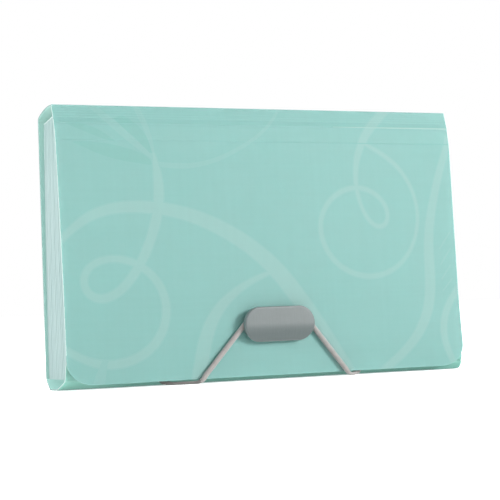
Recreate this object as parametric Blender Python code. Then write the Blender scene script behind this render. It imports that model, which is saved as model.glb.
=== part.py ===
# Expanding (accordion) file folder with thirteen pockets, a fold-over flap,
# a stand-off button and a round elastic cord.
#
# Frame: metres, +Z up, +X along the width, front (flap side) towards -Y.
# Origin: bottom centre of the closed folder, on the surface it stands on.
# Lengths below are in millimetres and are scaled by MM when a mesh is made.

import math

import bmesh
import bpy
from mathutils import Vector

MM = 0.001

# ---------------------------------------------------------------- cover sheet
WIDTH = 258.0            # full width of the cover
HALF = WIDTH / 2
SHEET = 0.8              # polypropylene sheet thickness
Y_BACK = 18.142          # outer face of the back panel
DEPTH = 30.0             # back face to flap face, 20 mm above the base
Z_DEPTH = 20.0
LEAN = 0.0463            # flap plane leans back: mm of +Y per mm of height
Z_RIDGE = 156.2          # ridge crease, the highest line
Z_LINE_1 = 147.8         # upper score line of the bending zone
Z_LINE_2 = 136.5         # lower score line, where the flat flap begins
Z_FLAP_END = 3.25        # lower edge of the flap
STEP_1 = 1.8             # line 1 lies this far behind line 2
STEP_R = 2.6             # the ridge lies this far behind line 1
Z_BACK_TOP = 150.4       # crease between back panel and curved top panel
Z_BACK_BOTTOM = 5.6      # crease between back panel and bottom panel
Z_FRONT_BOTTOM = 5.2     # crease between front panel and bottom panel
Z_FRONT_TOP = 144.5      # free upper edge of the front panel
FLAT_FRONT = -1.4        # flat strip of the bottom, front edge (y)
FLAT_BACK = 12.6         # flat strip of the bottom, back edge (y)
CORNER_R = 13.0          # rounded lower corners of the flap
FRONT_BEHIND_FLAP = 2.2  # flap's outer face to front panel's outer face
CREASE = 0.2             # half of the gap left at each living hinge

# ------------------------------------------------------- dividers and bellows
POCKETS = 13
DIVIDERS = POCKETS - 1
DIVIDER_T = 0.3
DIVIDER_HALF = 126.0
Z_DIVIDER = 7.2
Z_DIVIDER_TOP = 144.5
TAB_TOP = 148.5
TAB_HALF = 7.0
TAB_FIRST = -88.0
TAB_PITCH = 16.0
FILM = 0.15              # pleated side film
FILM_OUT = 127.3         # outer fold of each pleat
FILM_IN = 111.3          # inner fold of each pleat
Z_FILM = 6.4
Z_FILM_TOP = 149.0
CLEAR = 0.3

# --------------------------------------------------------------------- button
BUTTON_X = 1.6
Z_BUTTON = 32.2
CAP_HALF_LENGTH = 22.9
CAP_R = 9.9
CAP_BACK = 3.5
CAP_FRONT = 6.572
POST_STRAIGHT = 12.8
POST_R = 4.5
SPIGOT_R = 2.5
HOLE_R = 2.8
WASHER_R = 9.0

# -------------------------------------------------------------- elastic cord
CORD_R = 1.45
HOLE_X = {-1: 71.0, 1: 58.0}     # left and right of the middle
HOLE_ALONG = 3.55        # front crease to hole centre, along the slope
CORD_HOLE_R = 2.7
TURN_X = {-1: 47.4, 1: 45.5}     # where the cord turns up over the flap
TURN_Z = 3.4
BAR_HALF = 6.0
BAR_R = 1.1

BETA = math.atan(LEAN)


def y_flap(z):
    """Outer face of the flap plane at height z."""
    return Y_BACK - DEPTH + (z - Z_DEPTH) * LEAN


Y_LINE_2 = y_flap(Z_LINE_2)
Y_LINE_1 = Y_LINE_2 + STEP_1
Y_RIDGE = Y_LINE_1 + STEP_R


def y_front(z):
    """Outer face of the front panel at height z."""
    return y_flap(z) + FRONT_BEHIND_FLAP


Y_FRONT_CREASE = y_front(Z_FRONT_BOTTOM)


def pocket(k, z):
    """Front and back limit of pocket k (1 is the front one) at height z."""
    first = y_front(z) + SHEET
    last = Y_BACK - SHEET
    gap = (last - first - DIVIDERS * DIVIDER_T) / POCKETS
    low = first + (k - 1) * (gap + DIVIDER_T)
    return low, low + gap


def divider_y(k, z):
    """Middle of divider k at height z."""
    return pocket(k, z)[1] + DIVIDER_T / 2


# ------------------------------------------------------------------ materials
def material(name, rgb, roughness, metallic=0.0, alpha=1.0):
    m = bpy.data.materials.new(name)
    m.use_nodes = True
    p = m.node_tree.nodes["Principled BSDF"]
    p.inputs["Base Color"].default_value = (*rgb, 1.0)
    p.inputs["Roughness"].default_value = roughness
    p.inputs["Metallic"].default_value = metallic
    p.inputs["Alpha"].default_value = alpha
    return m


# -------------------------------------------------------------- mesh building
def empty(name, at, parent=None):
    e = bpy.data.objects.new(name, None)
    bpy.context.scene.collection.objects.link(e)
    e.parent = parent
    base = Vector((0, 0, 0)) if parent is None else Vector(parent["at"])
    e["at"] = list(at)
    e.location = (Vector(at) - base) * MM
    return e


def node(name, verts, faces, mat, parent, at=None, tilt=0.0, smooth=False):
    """One named object. verts are millimetres from the point `at`."""
    base = Vector(parent["at"])
    at = base if at is None else Vector(at)
    me = bpy.data.meshes.new(name)
    me.from_pydata([tuple(Vector(v) * MM) for v in verts], [], faces)
    bm = bmesh.new()
    bm.from_mesh(me)
    bmesh.ops.recalc_face_normals(bm, faces=bm.faces)
    bm.to_mesh(me)
    bm.free()
    me.materials.append(mat)
    ob = bpy.data.objects.new(name, me)
    bpy.context.scene.collection.objects.link(ob)
    ob.parent = parent
    ob.location = (at - base) * MM
    ob.rotation_euler = (tilt, 0.0, 0.0)
    if smooth:
        me.shade_smooth()
        me.set_sharp_from_angle(angle=math.radians(35))
    return ob


def cutter(name, radius, length, at, tilt, parent):
    bm = bmesh.new()
    bmesh.ops.create_cone(bm, cap_ends=True, segments=24, radius1=radius * MM,
                          radius2=radius * MM, depth=length * MM)
    me = bpy.data.meshes.new(name)
    bm.to_mesh(me)
    bm.free()
    ob = bpy.data.objects.new(name, me)
    bpy.context.scene.collection.objects.link(ob)
    ob.parent = parent
    ob.location = (Vector(at) - Vector(parent["at"])) * MM
    ob.rotation_euler = (tilt, 0.0, 0.0)
    ob.hide_render = True
    ob.display_type = "WIRE"
    return ob


def cut(ob, tool):
    m = ob.modifiers.new("cut_" + tool.name, "BOOLEAN")
    m.operation = "DIFFERENCE"
    m.solver = "EXACT"
    m.object = tool


def walk(points, distance):
    """The polyline with `distance` taken off its start."""
    pts = [Vector(p) for p in points]
    while (pts[1] - pts[0]).length <= distance:
        distance -= (pts[1] - pts[0]).length
        pts.pop(0)
    pts[0] = pts[0] + (pts[1] - pts[0]).normalized() * distance
    return pts


def offset(points, d):
    """The polyline moved sideways by d, to the left of its direction."""
    pts = [Vector(p) for p in points]
    sides = []
    for a, b in zip(pts[:-1], pts[1:]):
        t = (b - a).normalized()
        sides.append(Vector((-t.y, t.x)))
    out = []
    for i, p in enumerate(pts):
        a = sides[max(i - 1, 0)]
        b = sides[min(i, len(sides) - 1)]
        out.append(p + (a + b) * (d / (1.0 + a.dot(b))))
    return out


def bent_sheet(name, line, mat, parent, start, end, thickness=SHEET,
               half=HALF):
    """Sheet whose outer face follows `line` in (y, z), thickness to its left.

    start and end are (outer, inner) setbacks from the creases at its ends.
    """
    outer = walk(line, start[0])
    inner = walk(offset(line, thickness), start[1])
    outer = list(reversed(walk(list(reversed(outer)), end[0])))
    inner = list(reversed(walk(list(reversed(inner)), end[1])))
    n = len(outer)
    base = Vector(parent["at"])
    verts = []
    for x in (-half, half):
        for p in outer + inner:
            verts.append((x, p.x - base.y, p.y - base.z))
    faces = []
    for s in (0, 2 * n):
        for i in range(n - 1):
            faces.append((s + i, s + i + 1, s + n + i + 1, s + n + i))
    for i in range(n - 1):
        faces.append((i, i + 1, 2 * n + i + 1, 2 * n + i))
        faces.append((n + i, n + i + 1, 3 * n + i + 1, 3 * n + i))
    for i in (0, n - 1):
        faces.append((i, n + i, 3 * n + i, 2 * n + i))
    # the flat sheet is a child of an empty on its joint axis
    verts = [(v[0] - base.x, v[1], v[2]) for v in verts]
    return node(name, verts, faces, mat, parent)


def plate(name, outline, y0, y1, mat, parent, at, tilt):
    """Flat plate: outline in local (x, z), from local y0 to y1."""
    n = len(outline)
    verts = [(x, y0, z) for x, z in outline] + [(x, y1, z) for x, z in outline]
    faces = [tuple(range(n)), tuple(range(2 * n - 1, n - 1, -1))]
    for i in range(n):
        j = (i + 1) % n
        faces.append((i, j, n + j, n + i))
    return node(name, verts, faces, mat, parent, at, tilt)


def stadium(straight, radius, segments=12):
    """Closed outline in (x, z): two half circles joined by straight sides."""
    pts = []
    for side in (1, -1):
        for i in range(segments + 1):
            a = -math.pi / 2 + math.pi * i / segments
            pts.append((side * (straight + radius * math.cos(a)),
                        side * radius * math.sin(a)))
    return pts


def loft(name, rings, mat, parent, at, tilt, smooth=True):
    """Closed body through rings of (x, y, z), all with as many points."""
    n = len(rings[0])
    verts = [p for ring in rings for p in ring]
    faces = [tuple(range(n))]
    for r in range(len(rings) - 1):
        for i in range(n):
            j = (i + 1) % n
            faces.append((r * n + i, r * n + j,
                          (r + 1) * n + j, (r + 1) * n + i))
    last = (len(rings) - 1) * n
    faces.append(tuple(range(last + n - 1, last - 1, -1)))
    return node(name, verts, faces, mat, parent, at, tilt, smooth)


def ring(outline, out):
    """Outline at a distance `out` in front of the flap's face."""
    return [(x, -out, z) for x, z in outline]


def smooth_path(points, step):
    """Points about `step` apart on a smooth curve through `points`."""
    pts = [Vector(p) for p in points]
    ext = [pts[0] * 2 - pts[1]] + pts + [pts[-1] * 2 - pts[-2]]
    out = []
    for i in range(len(pts) - 1):
        a, b, c, d = ext[i:i + 4]
        t0 = 0.0
        t1 = t0 + max((b - a).length, 1e-6) ** 0.5
        t2 = t1 + max((c - b).length, 1e-6) ** 0.5
        t3 = t2 + max((d - c).length, 1e-6) ** 0.5
        m = max(1, int(round((c - b).length / step)))
        for j in range(m):
            t = t1 + (t2 - t1) * j / m
            p = a.lerp(b, (t - t0) / (t1 - t0))
            q = b.lerp(c, (t - t1) / (t2 - t1))
            r = c.lerp(d, (t - t2) / (t3 - t2))
            u = p.lerp(q, (t - t0) / (t2 - t0))
            w = q.lerp(r, (t - t1) / (t3 - t1))
            out.append(u.lerp(w, (t - t1) / (t2 - t1)))
    out.append(pts[-1])
    return out


def cord(name, points, mat, parent):
    cu = bpy.data.curves.new(name, "CURVE")
    cu.dimensions = "3D"
    cu.bevel_depth = CORD_R * MM
    cu.bevel_resolution = 2
    cu.use_fill_caps = True
    cu.twist_mode = "MINIMUM"
    sp = cu.splines.new("POLY")
    sp.points.add(len(points) - 1)
    base = Vector(parent["at"])
    for i, p in enumerate(points):
        q = (Vector(p) - base) * MM
        sp.points[i].co = (q.x, q.y, q.z, 1.0)
    sp.use_smooth = True
    cu.materials.append(mat)
    ob = bpy.data.objects.new(name, cu)
    bpy.context.scene.collection.objects.link(ob)
    ob.parent = parent
    return ob


def build():
    for ob in list(bpy.data.objects):
        bpy.data.objects.remove(ob, do_unlink=True)

    cover = material("cover_sheet", (0.33, 0.62, 0.58), 0.42)
    film = material("pleated_film", (0.55, 0.71, 0.70), 0.5)
    leaf = material("divider_film", (0.45, 0.68, 0.65), 0.5)
    plastic = material("button_plastic", (0.24, 0.29, 0.30), 0.45)
    elastic = material("elastic_cord", (0.50, 0.46, 0.43), 0.85)
    crimp = material("cord_crimp", (0.60, 0.60, 0.58), 0.35, 1.0)

    folder = empty("folder", (0, 0, 0))
    top_axis = empty("top_axis", (0, Y_BACK, Z_BACK_TOP), folder)
    flap_axis = empty("flap_axis", (0, Y_RIDGE, Z_RIDGE), top_axis)
    front_axis = empty("front_axis", (0, Y_FRONT_CREASE, Z_FRONT_BOTTOM),
                       folder)

    # ---- cover: bottom, back, curved top, bending zone, flap, front
    slope = Vector((FLAT_FRONT - Y_FRONT_CREASE, -Z_FRONT_BOTTOM))
    rise = Vector((Y_BACK - FLAT_BACK, Z_BACK_BOTTOM))

    def inner_setback(angle):
        """Extra setback of the inner face where two sheets meet at angle."""
        return SHEET / math.tan(angle / 2)

    front_dir = Vector((LEAN, 1.0))
    a_front = front_dir.angle(slope)
    a_back = Vector((0, 1)).angle(-rise)
    bottom = bent_sheet(
        "bottom_panel",
        [(Y_FRONT_CREASE, Z_FRONT_BOTTOM), (FLAT_FRONT, 0), (FLAT_BACK, 0),
         (Y_BACK, Z_BACK_BOTTOM)],
        cover, folder,
        (CREASE, CREASE + inner_setback(a_front)),
        (CREASE, CREASE + inner_setback(a_back)))

    a_top = math.pi - math.atan2(2 * (Z_RIDGE - Z_BACK_TOP),
                                 Y_BACK - Y_RIDGE) - math.pi / 2
    a_top = math.pi - a_top
    bent_sheet(
        "back_panel",
        [(Y_BACK, Z_BACK_BOTTOM), (Y_BACK, Z_BACK_TOP)],
        cover, folder,
        (CREASE, CREASE + inner_setback(a_back)),
        (CREASE + 0.1, CREASE + 0.1 + inner_setback(a_top)))

    arc = []
    steps = 12
    for i in range(steps + 1):
        t = i / steps
        arc.append((Y_BACK + (Y_RIDGE - Y_BACK) * t,
                    Z_BACK_TOP + (Z_RIDGE - Z_BACK_TOP)
                    * (1 - (1 - t) ** 2)))
    strip = Vector((Y_LINE_1 - Y_RIDGE, Z_LINE_1 - Z_RIDGE))
    a_ridge = strip.angle(Vector((1, 0)))
    bent_sheet(
        "top_panel", arc, cover, top_axis,
        (CREASE + 0.1, CREASE + 0.1 + inner_setback(a_top)),
        (CREASE, CREASE + inner_setback(a_ridge)))

    half = CREASE * 0.75
    bent_sheet(
        "hinge_strip_upper", [(Y_RIDGE, Z_RIDGE), (Y_LINE_1, Z_LINE_1)],
        cover, flap_axis,
        (CREASE, CREASE + inner_setback(a_ridge)), (half, half + 0.03))
    bent_sheet(
        "hinge_strip_lower", [(Y_LINE_1, Z_LINE_1), (Y_LINE_2, Z_LINE_2)],
        cover, flap_axis, (half, half + 0.03), (half, half + 0.03))

    # flap: rounded lower corners; local z runs up the leaning plane
    def along(z):
        return (z - Z_BUTTON) / math.cos(BETA)

    low = along(Z_FLAP_END)
    high = along(Z_LINE_2) - half
    outline = [(HALF, high), (-HALF, high)]
    for side, start in ((-1, math.pi), (1, 1.5 * math.pi)):
        for i in range(13):
            a = start + math.pi / 2 * i / 12
            outline.append((side * (HALF - CORNER_R) + CORNER_R * math.cos(a),
                            low + CORNER_R + CORNER_R * math.sin(a)))
    flap_at = (0, y_flap(Z_BUTTON), Z_BUTTON)
    button_at = (BUTTON_X, y_flap(Z_BUTTON), Z_BUTTON)
    flap = plate("flap_panel", outline, 0.0, SHEET, cover, flap_axis,
                 flap_at, -BETA)
    cut(flap, cutter("button_hole", HOLE_R, 6.0, button_at,
                     math.pi / 2 - BETA, flap_axis))

    bent_sheet(
        "front_panel",
        [(y_front(Z_FRONT_TOP), Z_FRONT_TOP),
         (Y_FRONT_CREASE, Z_FRONT_BOTTOM)],
        cover, front_axis, (0.0, 0.0),
        (CREASE, CREASE + inner_setback(a_front)))

    # ---- button: cap, stadium post with a round spigot, inner washer
    straight = CAP_HALF_LENGTH - CAP_R
    cap_profile = [(0.45, CAP_BACK), (0.12, CAP_BACK + 0.1), (0.0, CAP_BACK + 0.4),
                   (0.0, CAP_FRONT - 0.9), (0.1, CAP_FRONT - 0.6),
                   (0.35, CAP_FRONT - 0.35), (0.8, CAP_FRONT - 0.2),
                   (1.6, CAP_FRONT - 0.1), (4.0, CAP_FRONT)]
    loft("button_cap",
         [ring(stadium(straight, CAP_R - inset, 16), out)
          for inset, out in cap_profile],
         plastic, flap_axis, button_at, -BETA)
    post = stadium(POST_STRAIGHT, POST_R, 12)
    count = len(post)
    spigot = []
    for i in range(count):
        a = math.atan2(post[i][1], post[i][0])
        spigot.append(a)
    # the spigot's points share the post's angular order round the axis
    turn = [2 * math.pi * (i - 6) / count for i in range(count)]
    disc = [(SPIGOT_R * math.cos(a), SPIGOT_R * math.sin(a)) for a in turn]
    loft("button_post",
         [ring(post, CAP_BACK - CLEAR), ring(post, CLEAR),
          ring(disc, CLEAR), ring(disc, -0.5)],
         plastic, flap_axis, button_at, -BETA)
    circle = [(math.cos(2 * math.pi * i / 32), math.sin(2 * math.pi * i / 32))
              for i in range(32)]
    loft("button_washer",
         [ring([(WASHER_R * k * x, WASHER_R * k * z) for x, z in circle], -out)
          for k, out in ((0.96, SHEET + 0.25), (1.0, SHEET + 0.4),
                         (1.0, SHEET + 0.8), (0.94, SHEET + 1.05))],
         plastic, flap_axis, button_at, -BETA)

    # ---- dividers, each turning about its own lower edge, and the bellows
    def pleat(name, side, k, parent):
        base = Vector(parent["at"])
        verts = []
        for z in (Z_FILM, Z_FILM_TOP):
            a, b = pocket(k, z)
            a, b = a + CLEAR, b - CLEAR
            m = (a + b) / 2
            for x, y in ((FILM_OUT, a), (FILM_IN, m - FILM / 2),
                         (FILM_IN, m + FILM / 2), (FILM_OUT, b),
                         (FILM_OUT, b - FILM), (FILM_IN + 2.5, m),
                         (FILM_OUT, a + FILM)):
                verts.append((side * x - base.x, y - base.y, z - base.z))
        n = 7
        faces = [(0, 1, 5, 6), (1, 2, 5), (2, 3, 4, 5),
                 (n + 6, n + 5, n + 1, n), (n + 5, n + 2, n + 1),
                 (n + 5, n + 4, n + 3, n + 2)]
        for i in range(n):
            j = (i + 1) % n
            faces.append((i, j, n + j, n + i))
        return node(name, verts, faces, film, parent)

    for k in range(1, POCKETS + 1):
        if k <= DIVIDERS:
            y0, y1 = divider_y(k, Z_DIVIDER), divider_y(k, Z_DIVIDER_TOP)
            lean = math.atan((y1 - y0) / (Z_DIVIDER_TOP - Z_DIVIDER))
            axis = empty("divider_%02d_axis" % k, (0, y0, Z_DIVIDER), folder)
            rise_z = (Z_DIVIDER_TOP - Z_DIVIDER) / math.cos(lean)
            tab_z = (TAB_TOP - Z_DIVIDER) / math.cos(lean)
            xc = TAB_FIRST + TAB_PITCH * (k - 1)
            shape = [(-DIVIDER_HALF, 0.0), (DIVIDER_HALF, 0.0),
                     (DIVIDER_HALF, rise_z),
                     (xc + TAB_HALF + 1.0, rise_z), (xc + TAB_HALF, tab_z),
                     (xc - TAB_HALF, tab_z), (xc - TAB_HALF - 1.0, rise_z),
                     (-DIVIDER_HALF, rise_z)]
            plate("divider_%02d" % k, shape, -DIVIDER_T / 2, DIVIDER_T / 2,
                  leaf, axis, axis["at"], -lean)
            parent = axis
        else:
            parent = folder
        pleat("gusset_left_%02d" % k, -1, k, parent)
        pleat("gusset_right_%02d" % k, 1, k, parent)

    # ---- elastic cord: two fixed runs through the bottom and one loose loop
    down = slope.normalized()
    hole = Vector((Y_FRONT_CREASE, Z_FRONT_BOTTOM)) + down * HOLE_ALONG
    inward = Vector((-down.y, down.x))
    y_turn = y_flap(TURN_Z) - CORD_R - 0.3
    loop_axis = empty("elastic_axis", (0, y_turn, TURN_Z), folder)
    tilt_hole = -math.atan2(inward.x, inward.y)
    for side, word in ((-1, "left"), (1, "right")):
        tool = cutter("cord_hole_" + word, CORD_HOLE_R, 8.0,
                      (side * HOLE_X[side], hole.x, hole.y), tilt_hole, folder)
        cut(bottom, tool)
        start = hole + inward * SHEET
        out, bend = HOLE_X[side], TURN_X[side]
        run = [(out, start.x, start.y),
               (out, hole.x, hole.y),
               (out - 0.5, hole.x - 0.65, hole.y - 1.05),
               (out - 2.0, hole.x - 1.55, 1.80),
               (out - 4.5, hole.x - 2.5, 1.60),
               ((out + bend) / 2 + 1.0, hole.x - 3.7, 1.55),
               (bend + 3.4, y_turn + 1.85, 1.53),
               (bend + 1.0, y_turn + 0.5, 2.0),
               (bend + 0.08, y_turn + 0.02, TURN_Z - 0.5),
               (bend, y_turn, TURN_Z - 0.2)]
        path = smooth_path([(side * x, y, z) for x, y, z in run], 1.6)
        cord("elastic_run_" + word, path, elastic, folder)
        # crimped bar across the inside of the hole
        centre = hole + inward * (SHEET + CLEAR + BAR_R)
        rings = []
        for x, k in ((-BAR_HALF, 0.55), (-BAR_HALF + 0.5, 0.9),
                     (-BAR_HALF + 1.2, 1.0), (BAR_HALF - 1.2, 1.0),
                     (BAR_HALF - 0.5, 0.9), (BAR_HALF, 0.55)):
            rings.append([(x, BAR_R * k * math.cos(2 * math.pi * i / 12),
                           BAR_R * k * math.sin(2 * math.pi * i / 12))
                          for i in range(12)])
        loft("elastic_end_" + word, rings, crimp, folder,
             (side * HOLE_X[side], centre.x, centre.y), 0.0)

    def on_flap(x, z):
        return (x, y_flap(z) - CORD_R - 0.3, z)

    wrap = POST_R + 0.3 + CORD_R

    def half_loop(side):
        """From the bend at the flap's edge up to the top of the post."""
        bend = TURN_X[side]
        centre = side * BUTTON_X + POST_STRAIGHT
        reach = math.hypot(bend - centre, Z_BUTTON - TURN_Z)
        climb = (math.atan2(Z_BUTTON - TURN_Z, bend - centre)
                 + math.asin(wrap / reach))
        pts = [(bend, y_turn, TURN_Z + 0.2),
               (bend - 0.05, y_turn + 0.03, TURN_Z + 0.8)]
        tangent = (centre + wrap * math.sin(climb),
                   Z_BUTTON + wrap * math.cos(climb))
        for i in range(9):
            t = i / 8
            pts.append(on_flap(bend - 0.6 + (tangent[0] - bend + 0.6) * t,
                               TURN_Z + 1.6 + (tangent[1] - TURN_Z - 1.6) * t))
        for i in range(1, 4):
            a = climb * (1 - i / 3)
            pts.append(on_flap(centre + wrap * math.sin(a),
                               Z_BUTTON + wrap * math.cos(a)))
        return [(side * x, y, z) for x, y, z in pts]

    over = [on_flap(BUTTON_X + x, Z_BUTTON + wrap) for x in (-6.4, 0.0, 6.4)]
    cord("elastic_loop", half_loop(-1) + over + half_loop(1)[::-1],
         elastic, loop_axis)


build()
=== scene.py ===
# Looks of the expanding (accordion) file folder: printed matte cover sheet
# with living hinges, pleated film sides, frosted dividers, stand-off button
# and braided elastic cord, on a pale studio floor.
#
# Lengths are millimetres in the model's frame and are scaled when a mesh is
# made. The cover is laid out flat first, as (x, s): x across the width, s
# along the sheet from the front panel's upper edge round to the flap's end.

import math

import bmesh
import bpy
import numpy as np
from mathutils import Matrix, Vector
from mathutils.geometry import delaunay_2d_cdt


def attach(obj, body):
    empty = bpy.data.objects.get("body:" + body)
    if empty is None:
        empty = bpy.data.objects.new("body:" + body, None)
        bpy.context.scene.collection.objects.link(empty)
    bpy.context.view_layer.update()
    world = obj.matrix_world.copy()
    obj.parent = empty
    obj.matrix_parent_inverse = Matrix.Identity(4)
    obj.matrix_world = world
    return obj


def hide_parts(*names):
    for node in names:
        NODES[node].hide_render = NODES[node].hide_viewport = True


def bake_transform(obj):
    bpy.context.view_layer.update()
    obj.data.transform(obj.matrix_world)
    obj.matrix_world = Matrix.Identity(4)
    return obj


MM = 0.001

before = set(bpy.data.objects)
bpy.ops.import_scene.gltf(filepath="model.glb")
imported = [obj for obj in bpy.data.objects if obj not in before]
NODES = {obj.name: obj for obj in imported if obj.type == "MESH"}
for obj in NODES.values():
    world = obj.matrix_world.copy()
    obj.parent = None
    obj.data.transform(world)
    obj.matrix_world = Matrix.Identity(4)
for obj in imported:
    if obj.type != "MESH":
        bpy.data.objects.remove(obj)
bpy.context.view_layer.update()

# ------------------------------------------------------------ sizes, as built
HALF = 129.0
SHEET = 0.8
Y_BACK = 18.142
DEPTH = 30.0
LEAN = 0.0463
Z_RIDGE, Z_LINE_1, Z_LINE_2, Z_FLAP_END = 156.2, 147.8, 136.5, 2.55
STEP_1, STEP_R = 1.8, 2.6
Z_BACK_TOP, Z_BACK_BOTTOM = 150.4, 5.6
Z_FRONT_BOTTOM, Z_FRONT_TOP = 5.2, 144.5
FLAT_FRONT, FLAT_BACK = -1.4, 12.6
CORNER_R = 13.0
FRONT_BEHIND_FLAP = 2.2
POCKETS, DIVIDER_T = 13, 0.3
FRONT_CREASE_R, BACK_CREASE_R = 6.0, 7.0
Z_DIVIDER, Z_DIVIDER_TOP, TAB_TOP = 7.2, 144.5, 148.5
BUTTON_X, Z_BUTTON = 1.6, 32.2
POST_STRAIGHT, POST_R = 12.8, 4.5
CORD_R = 1.45
TURN_X, TURN_Z = {-1: 47.4, 1: 45.5}, 3.4
HOLE_X, HOLE_ALONG, CORD_HOLE_R = {-1: 71.0, 1: 58.0}, 3.55, 2.7
BETA = math.atan(LEAN)


def y_flap(z):
    return Y_BACK - DEPTH + (z - 20.0) * LEAN


def y_front(z):
    return y_flap(z) + FRONT_BEHIND_FLAP


Y_LINE_2 = y_flap(Z_LINE_2)
Y_LINE_1 = Y_LINE_2 + STEP_1
Y_RIDGE = Y_LINE_1 + STEP_R
Y_CREASE = y_front(Z_FRONT_BOTTOM)
Y_TURN = y_flap(TURN_Z) - CORD_R - 0.3


def pocket(k, z):
    first = y_front(z) + SHEET
    last = Y_BACK - SHEET
    gap = (last - first - (POCKETS - 1) * DIVIDER_T) / POCKETS
    low = first + (k - 1) * (gap + DIVIDER_T)
    return low, low + gap


# --------------------------------------------------------------------- camera
def set_camera():
    cam = bpy.data.cameras.new("camera")
    cam.lens = 130.911
    cam.sensor_width = 36.0
    cam.clip_start, cam.clip_end = 0.05, 50.0
    ob = bpy.data.objects.new("camera", cam)
    bpy.context.scene.collection.objects.link(ob)
    forward = Vector((0.47496108, 0.87950731, 0.02964574)).normalized()
    right = Vector((0.87984763, -0.47396492, -0.03500574))
    right = (right - forward * right.dot(forward)).normalized()
    up = right.cross(forward)
    m = Matrix((right, up, -forward)).transposed().to_4x4()
    m.translation = Vector((-0.5058169, -0.9220067, 0.0435816))
    ob.matrix_world = m
    bpy.context.scene.camera = ob


set_camera()


# ------------------------------------------------------------------ materials
class Nodes:
    """Small helper that adds shader nodes and links them."""

    def __init__(self, name):
        self.mat = bpy.data.materials.new(name)
        self.mat.use_nodes = True
        self.tree = self.mat.node_tree
        self.bsdf = self.tree.nodes["Principled BSDF"]
        self.out = self.tree.nodes["Material Output"]

    def add(self, kind, **settings):
        n = self.tree.nodes.new(kind)
        for k, v in settings.items():
            if k in n.inputs:
                n.inputs[k].default_value = v
            else:
                setattr(n, k, v)
        return n

    def link(self, a, b):
        self.tree.links.new(a, b)

    def coords(self, scale, uv=True):
        """Texture coordinates in tenths of a metre, stretched by scale."""
        c = self.add("ShaderNodeTexCoord")
        m = self.add("ShaderNodeMapping")
        m.inputs["Scale"].default_value = scale
        self.link(c.outputs["UV" if uv else "Object"], m.inputs["Vector"])
        return m.outputs["Vector"]

    def noise(self, scale, size, detail=2.0, rough=0.5, uv=True):
        n = self.add("ShaderNodeTexNoise")
        n.inputs["Scale"].default_value = size
        n.inputs["Detail"].default_value = detail
        n.inputs["Roughness"].default_value = rough
        self.link(self.coords(scale, uv), n.inputs["Vector"])
        return n.outputs["Fac"]

    def ramp(self, fac, stops):
        r = self.add("ShaderNodeValToRGB")
        el = r.color_ramp.elements
        while len(el) < len(stops):
            el.new(0.5)
        for e, (p, c) in zip(el, stops):
            e.position = p
            e.color = (*c, 1.0)
        self.link(fac, r.inputs["Fac"])
        return r.outputs["Color"]

    def mix(self, fac, a, b, mode="MIX"):
        m = self.add("ShaderNodeMix")
        m.data_type = "RGBA"
        m.blend_type = mode
        if isinstance(fac, float):
            m.inputs[0].default_value = fac
        else:
            self.link(fac, m.inputs[0])
        for sock, v in ((m.inputs[6], a), (m.inputs[7], b)):
            if isinstance(v, tuple):
                sock.default_value = (*v, 1.0)
            else:
                self.link(v, sock)
        return m.outputs[2]

    def range(self, fac, lo, hi, a=0.0, b=1.0):
        m = self.add("ShaderNodeMapRange")
        m.inputs["From Min"].default_value = a
        m.inputs["From Max"].default_value = b
        m.inputs["To Min"].default_value = lo
        m.inputs["To Max"].default_value = hi
        self.link(fac, m.inputs["Value"])
        return m.outputs["Result"]

    def bump(self, height, strength, distance, normal=None):
        b = self.add("ShaderNodeBump")
        b.inputs["Strength"].default_value = strength
        b.inputs["Distance"].default_value = distance
        self.link(height, b.inputs["Height"])
        if normal is not None:
            self.link(normal, b.inputs["Normal"])
        return b.outputs["Normal"]

    def sum(self, a, b, wa=1.0, wb=1.0):
        p = self.add("ShaderNodeMath", operation="MULTIPLY")
        p.inputs[1].default_value = wa
        self.link(a, p.inputs[0])
        q = self.add("ShaderNodeMath", operation="MULTIPLY_ADD")
        q.inputs[1].default_value = wb
        self.link(b, q.inputs[0])
        self.link(p.outputs[0], q.inputs[2])
        return q.outputs[0]


def shade(c, k):
    return tuple(min(1.0, v * k) for v in c)


def cloudy(g, weight, depth=0.0025):
    """Lets some light through the plastic, as cloudy polypropylene does."""
    g.bsdf.inputs["Subsurface Weight"].default_value = weight
    g.bsdf.inputs["Subsurface Radius"].default_value = (1.0, 1.0, 1.0)
    g.bsdf.inputs["Subsurface Scale"].default_value = depth


def shine(g, through):
    """Painted glow: an emission colour that stands in for daylight coming through the thin plastic
    from its other face.

    One colour, or (axis, from, to, colour, colour) on the flat layout.
    """
    if not through:
        return
    if len(through) == 3:
        g.bsdf.inputs["Emission Color"].default_value = (*through, 1.0)
    else:
        axis, a, b, first, last = through
        split = g.add("ShaderNodeSeparateXYZ")
        g.link(g.coords((1.0, 1.0, 1.0)), split.inputs[0])
        g.link(g.mix(g.range(split.outputs[axis], 0.0, 1.0, a / 100, b / 100),
                     first, last), g.bsdf.inputs["Emission Color"])
    g.bsdf.inputs["Emission Strength"].default_value = 1.0


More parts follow.
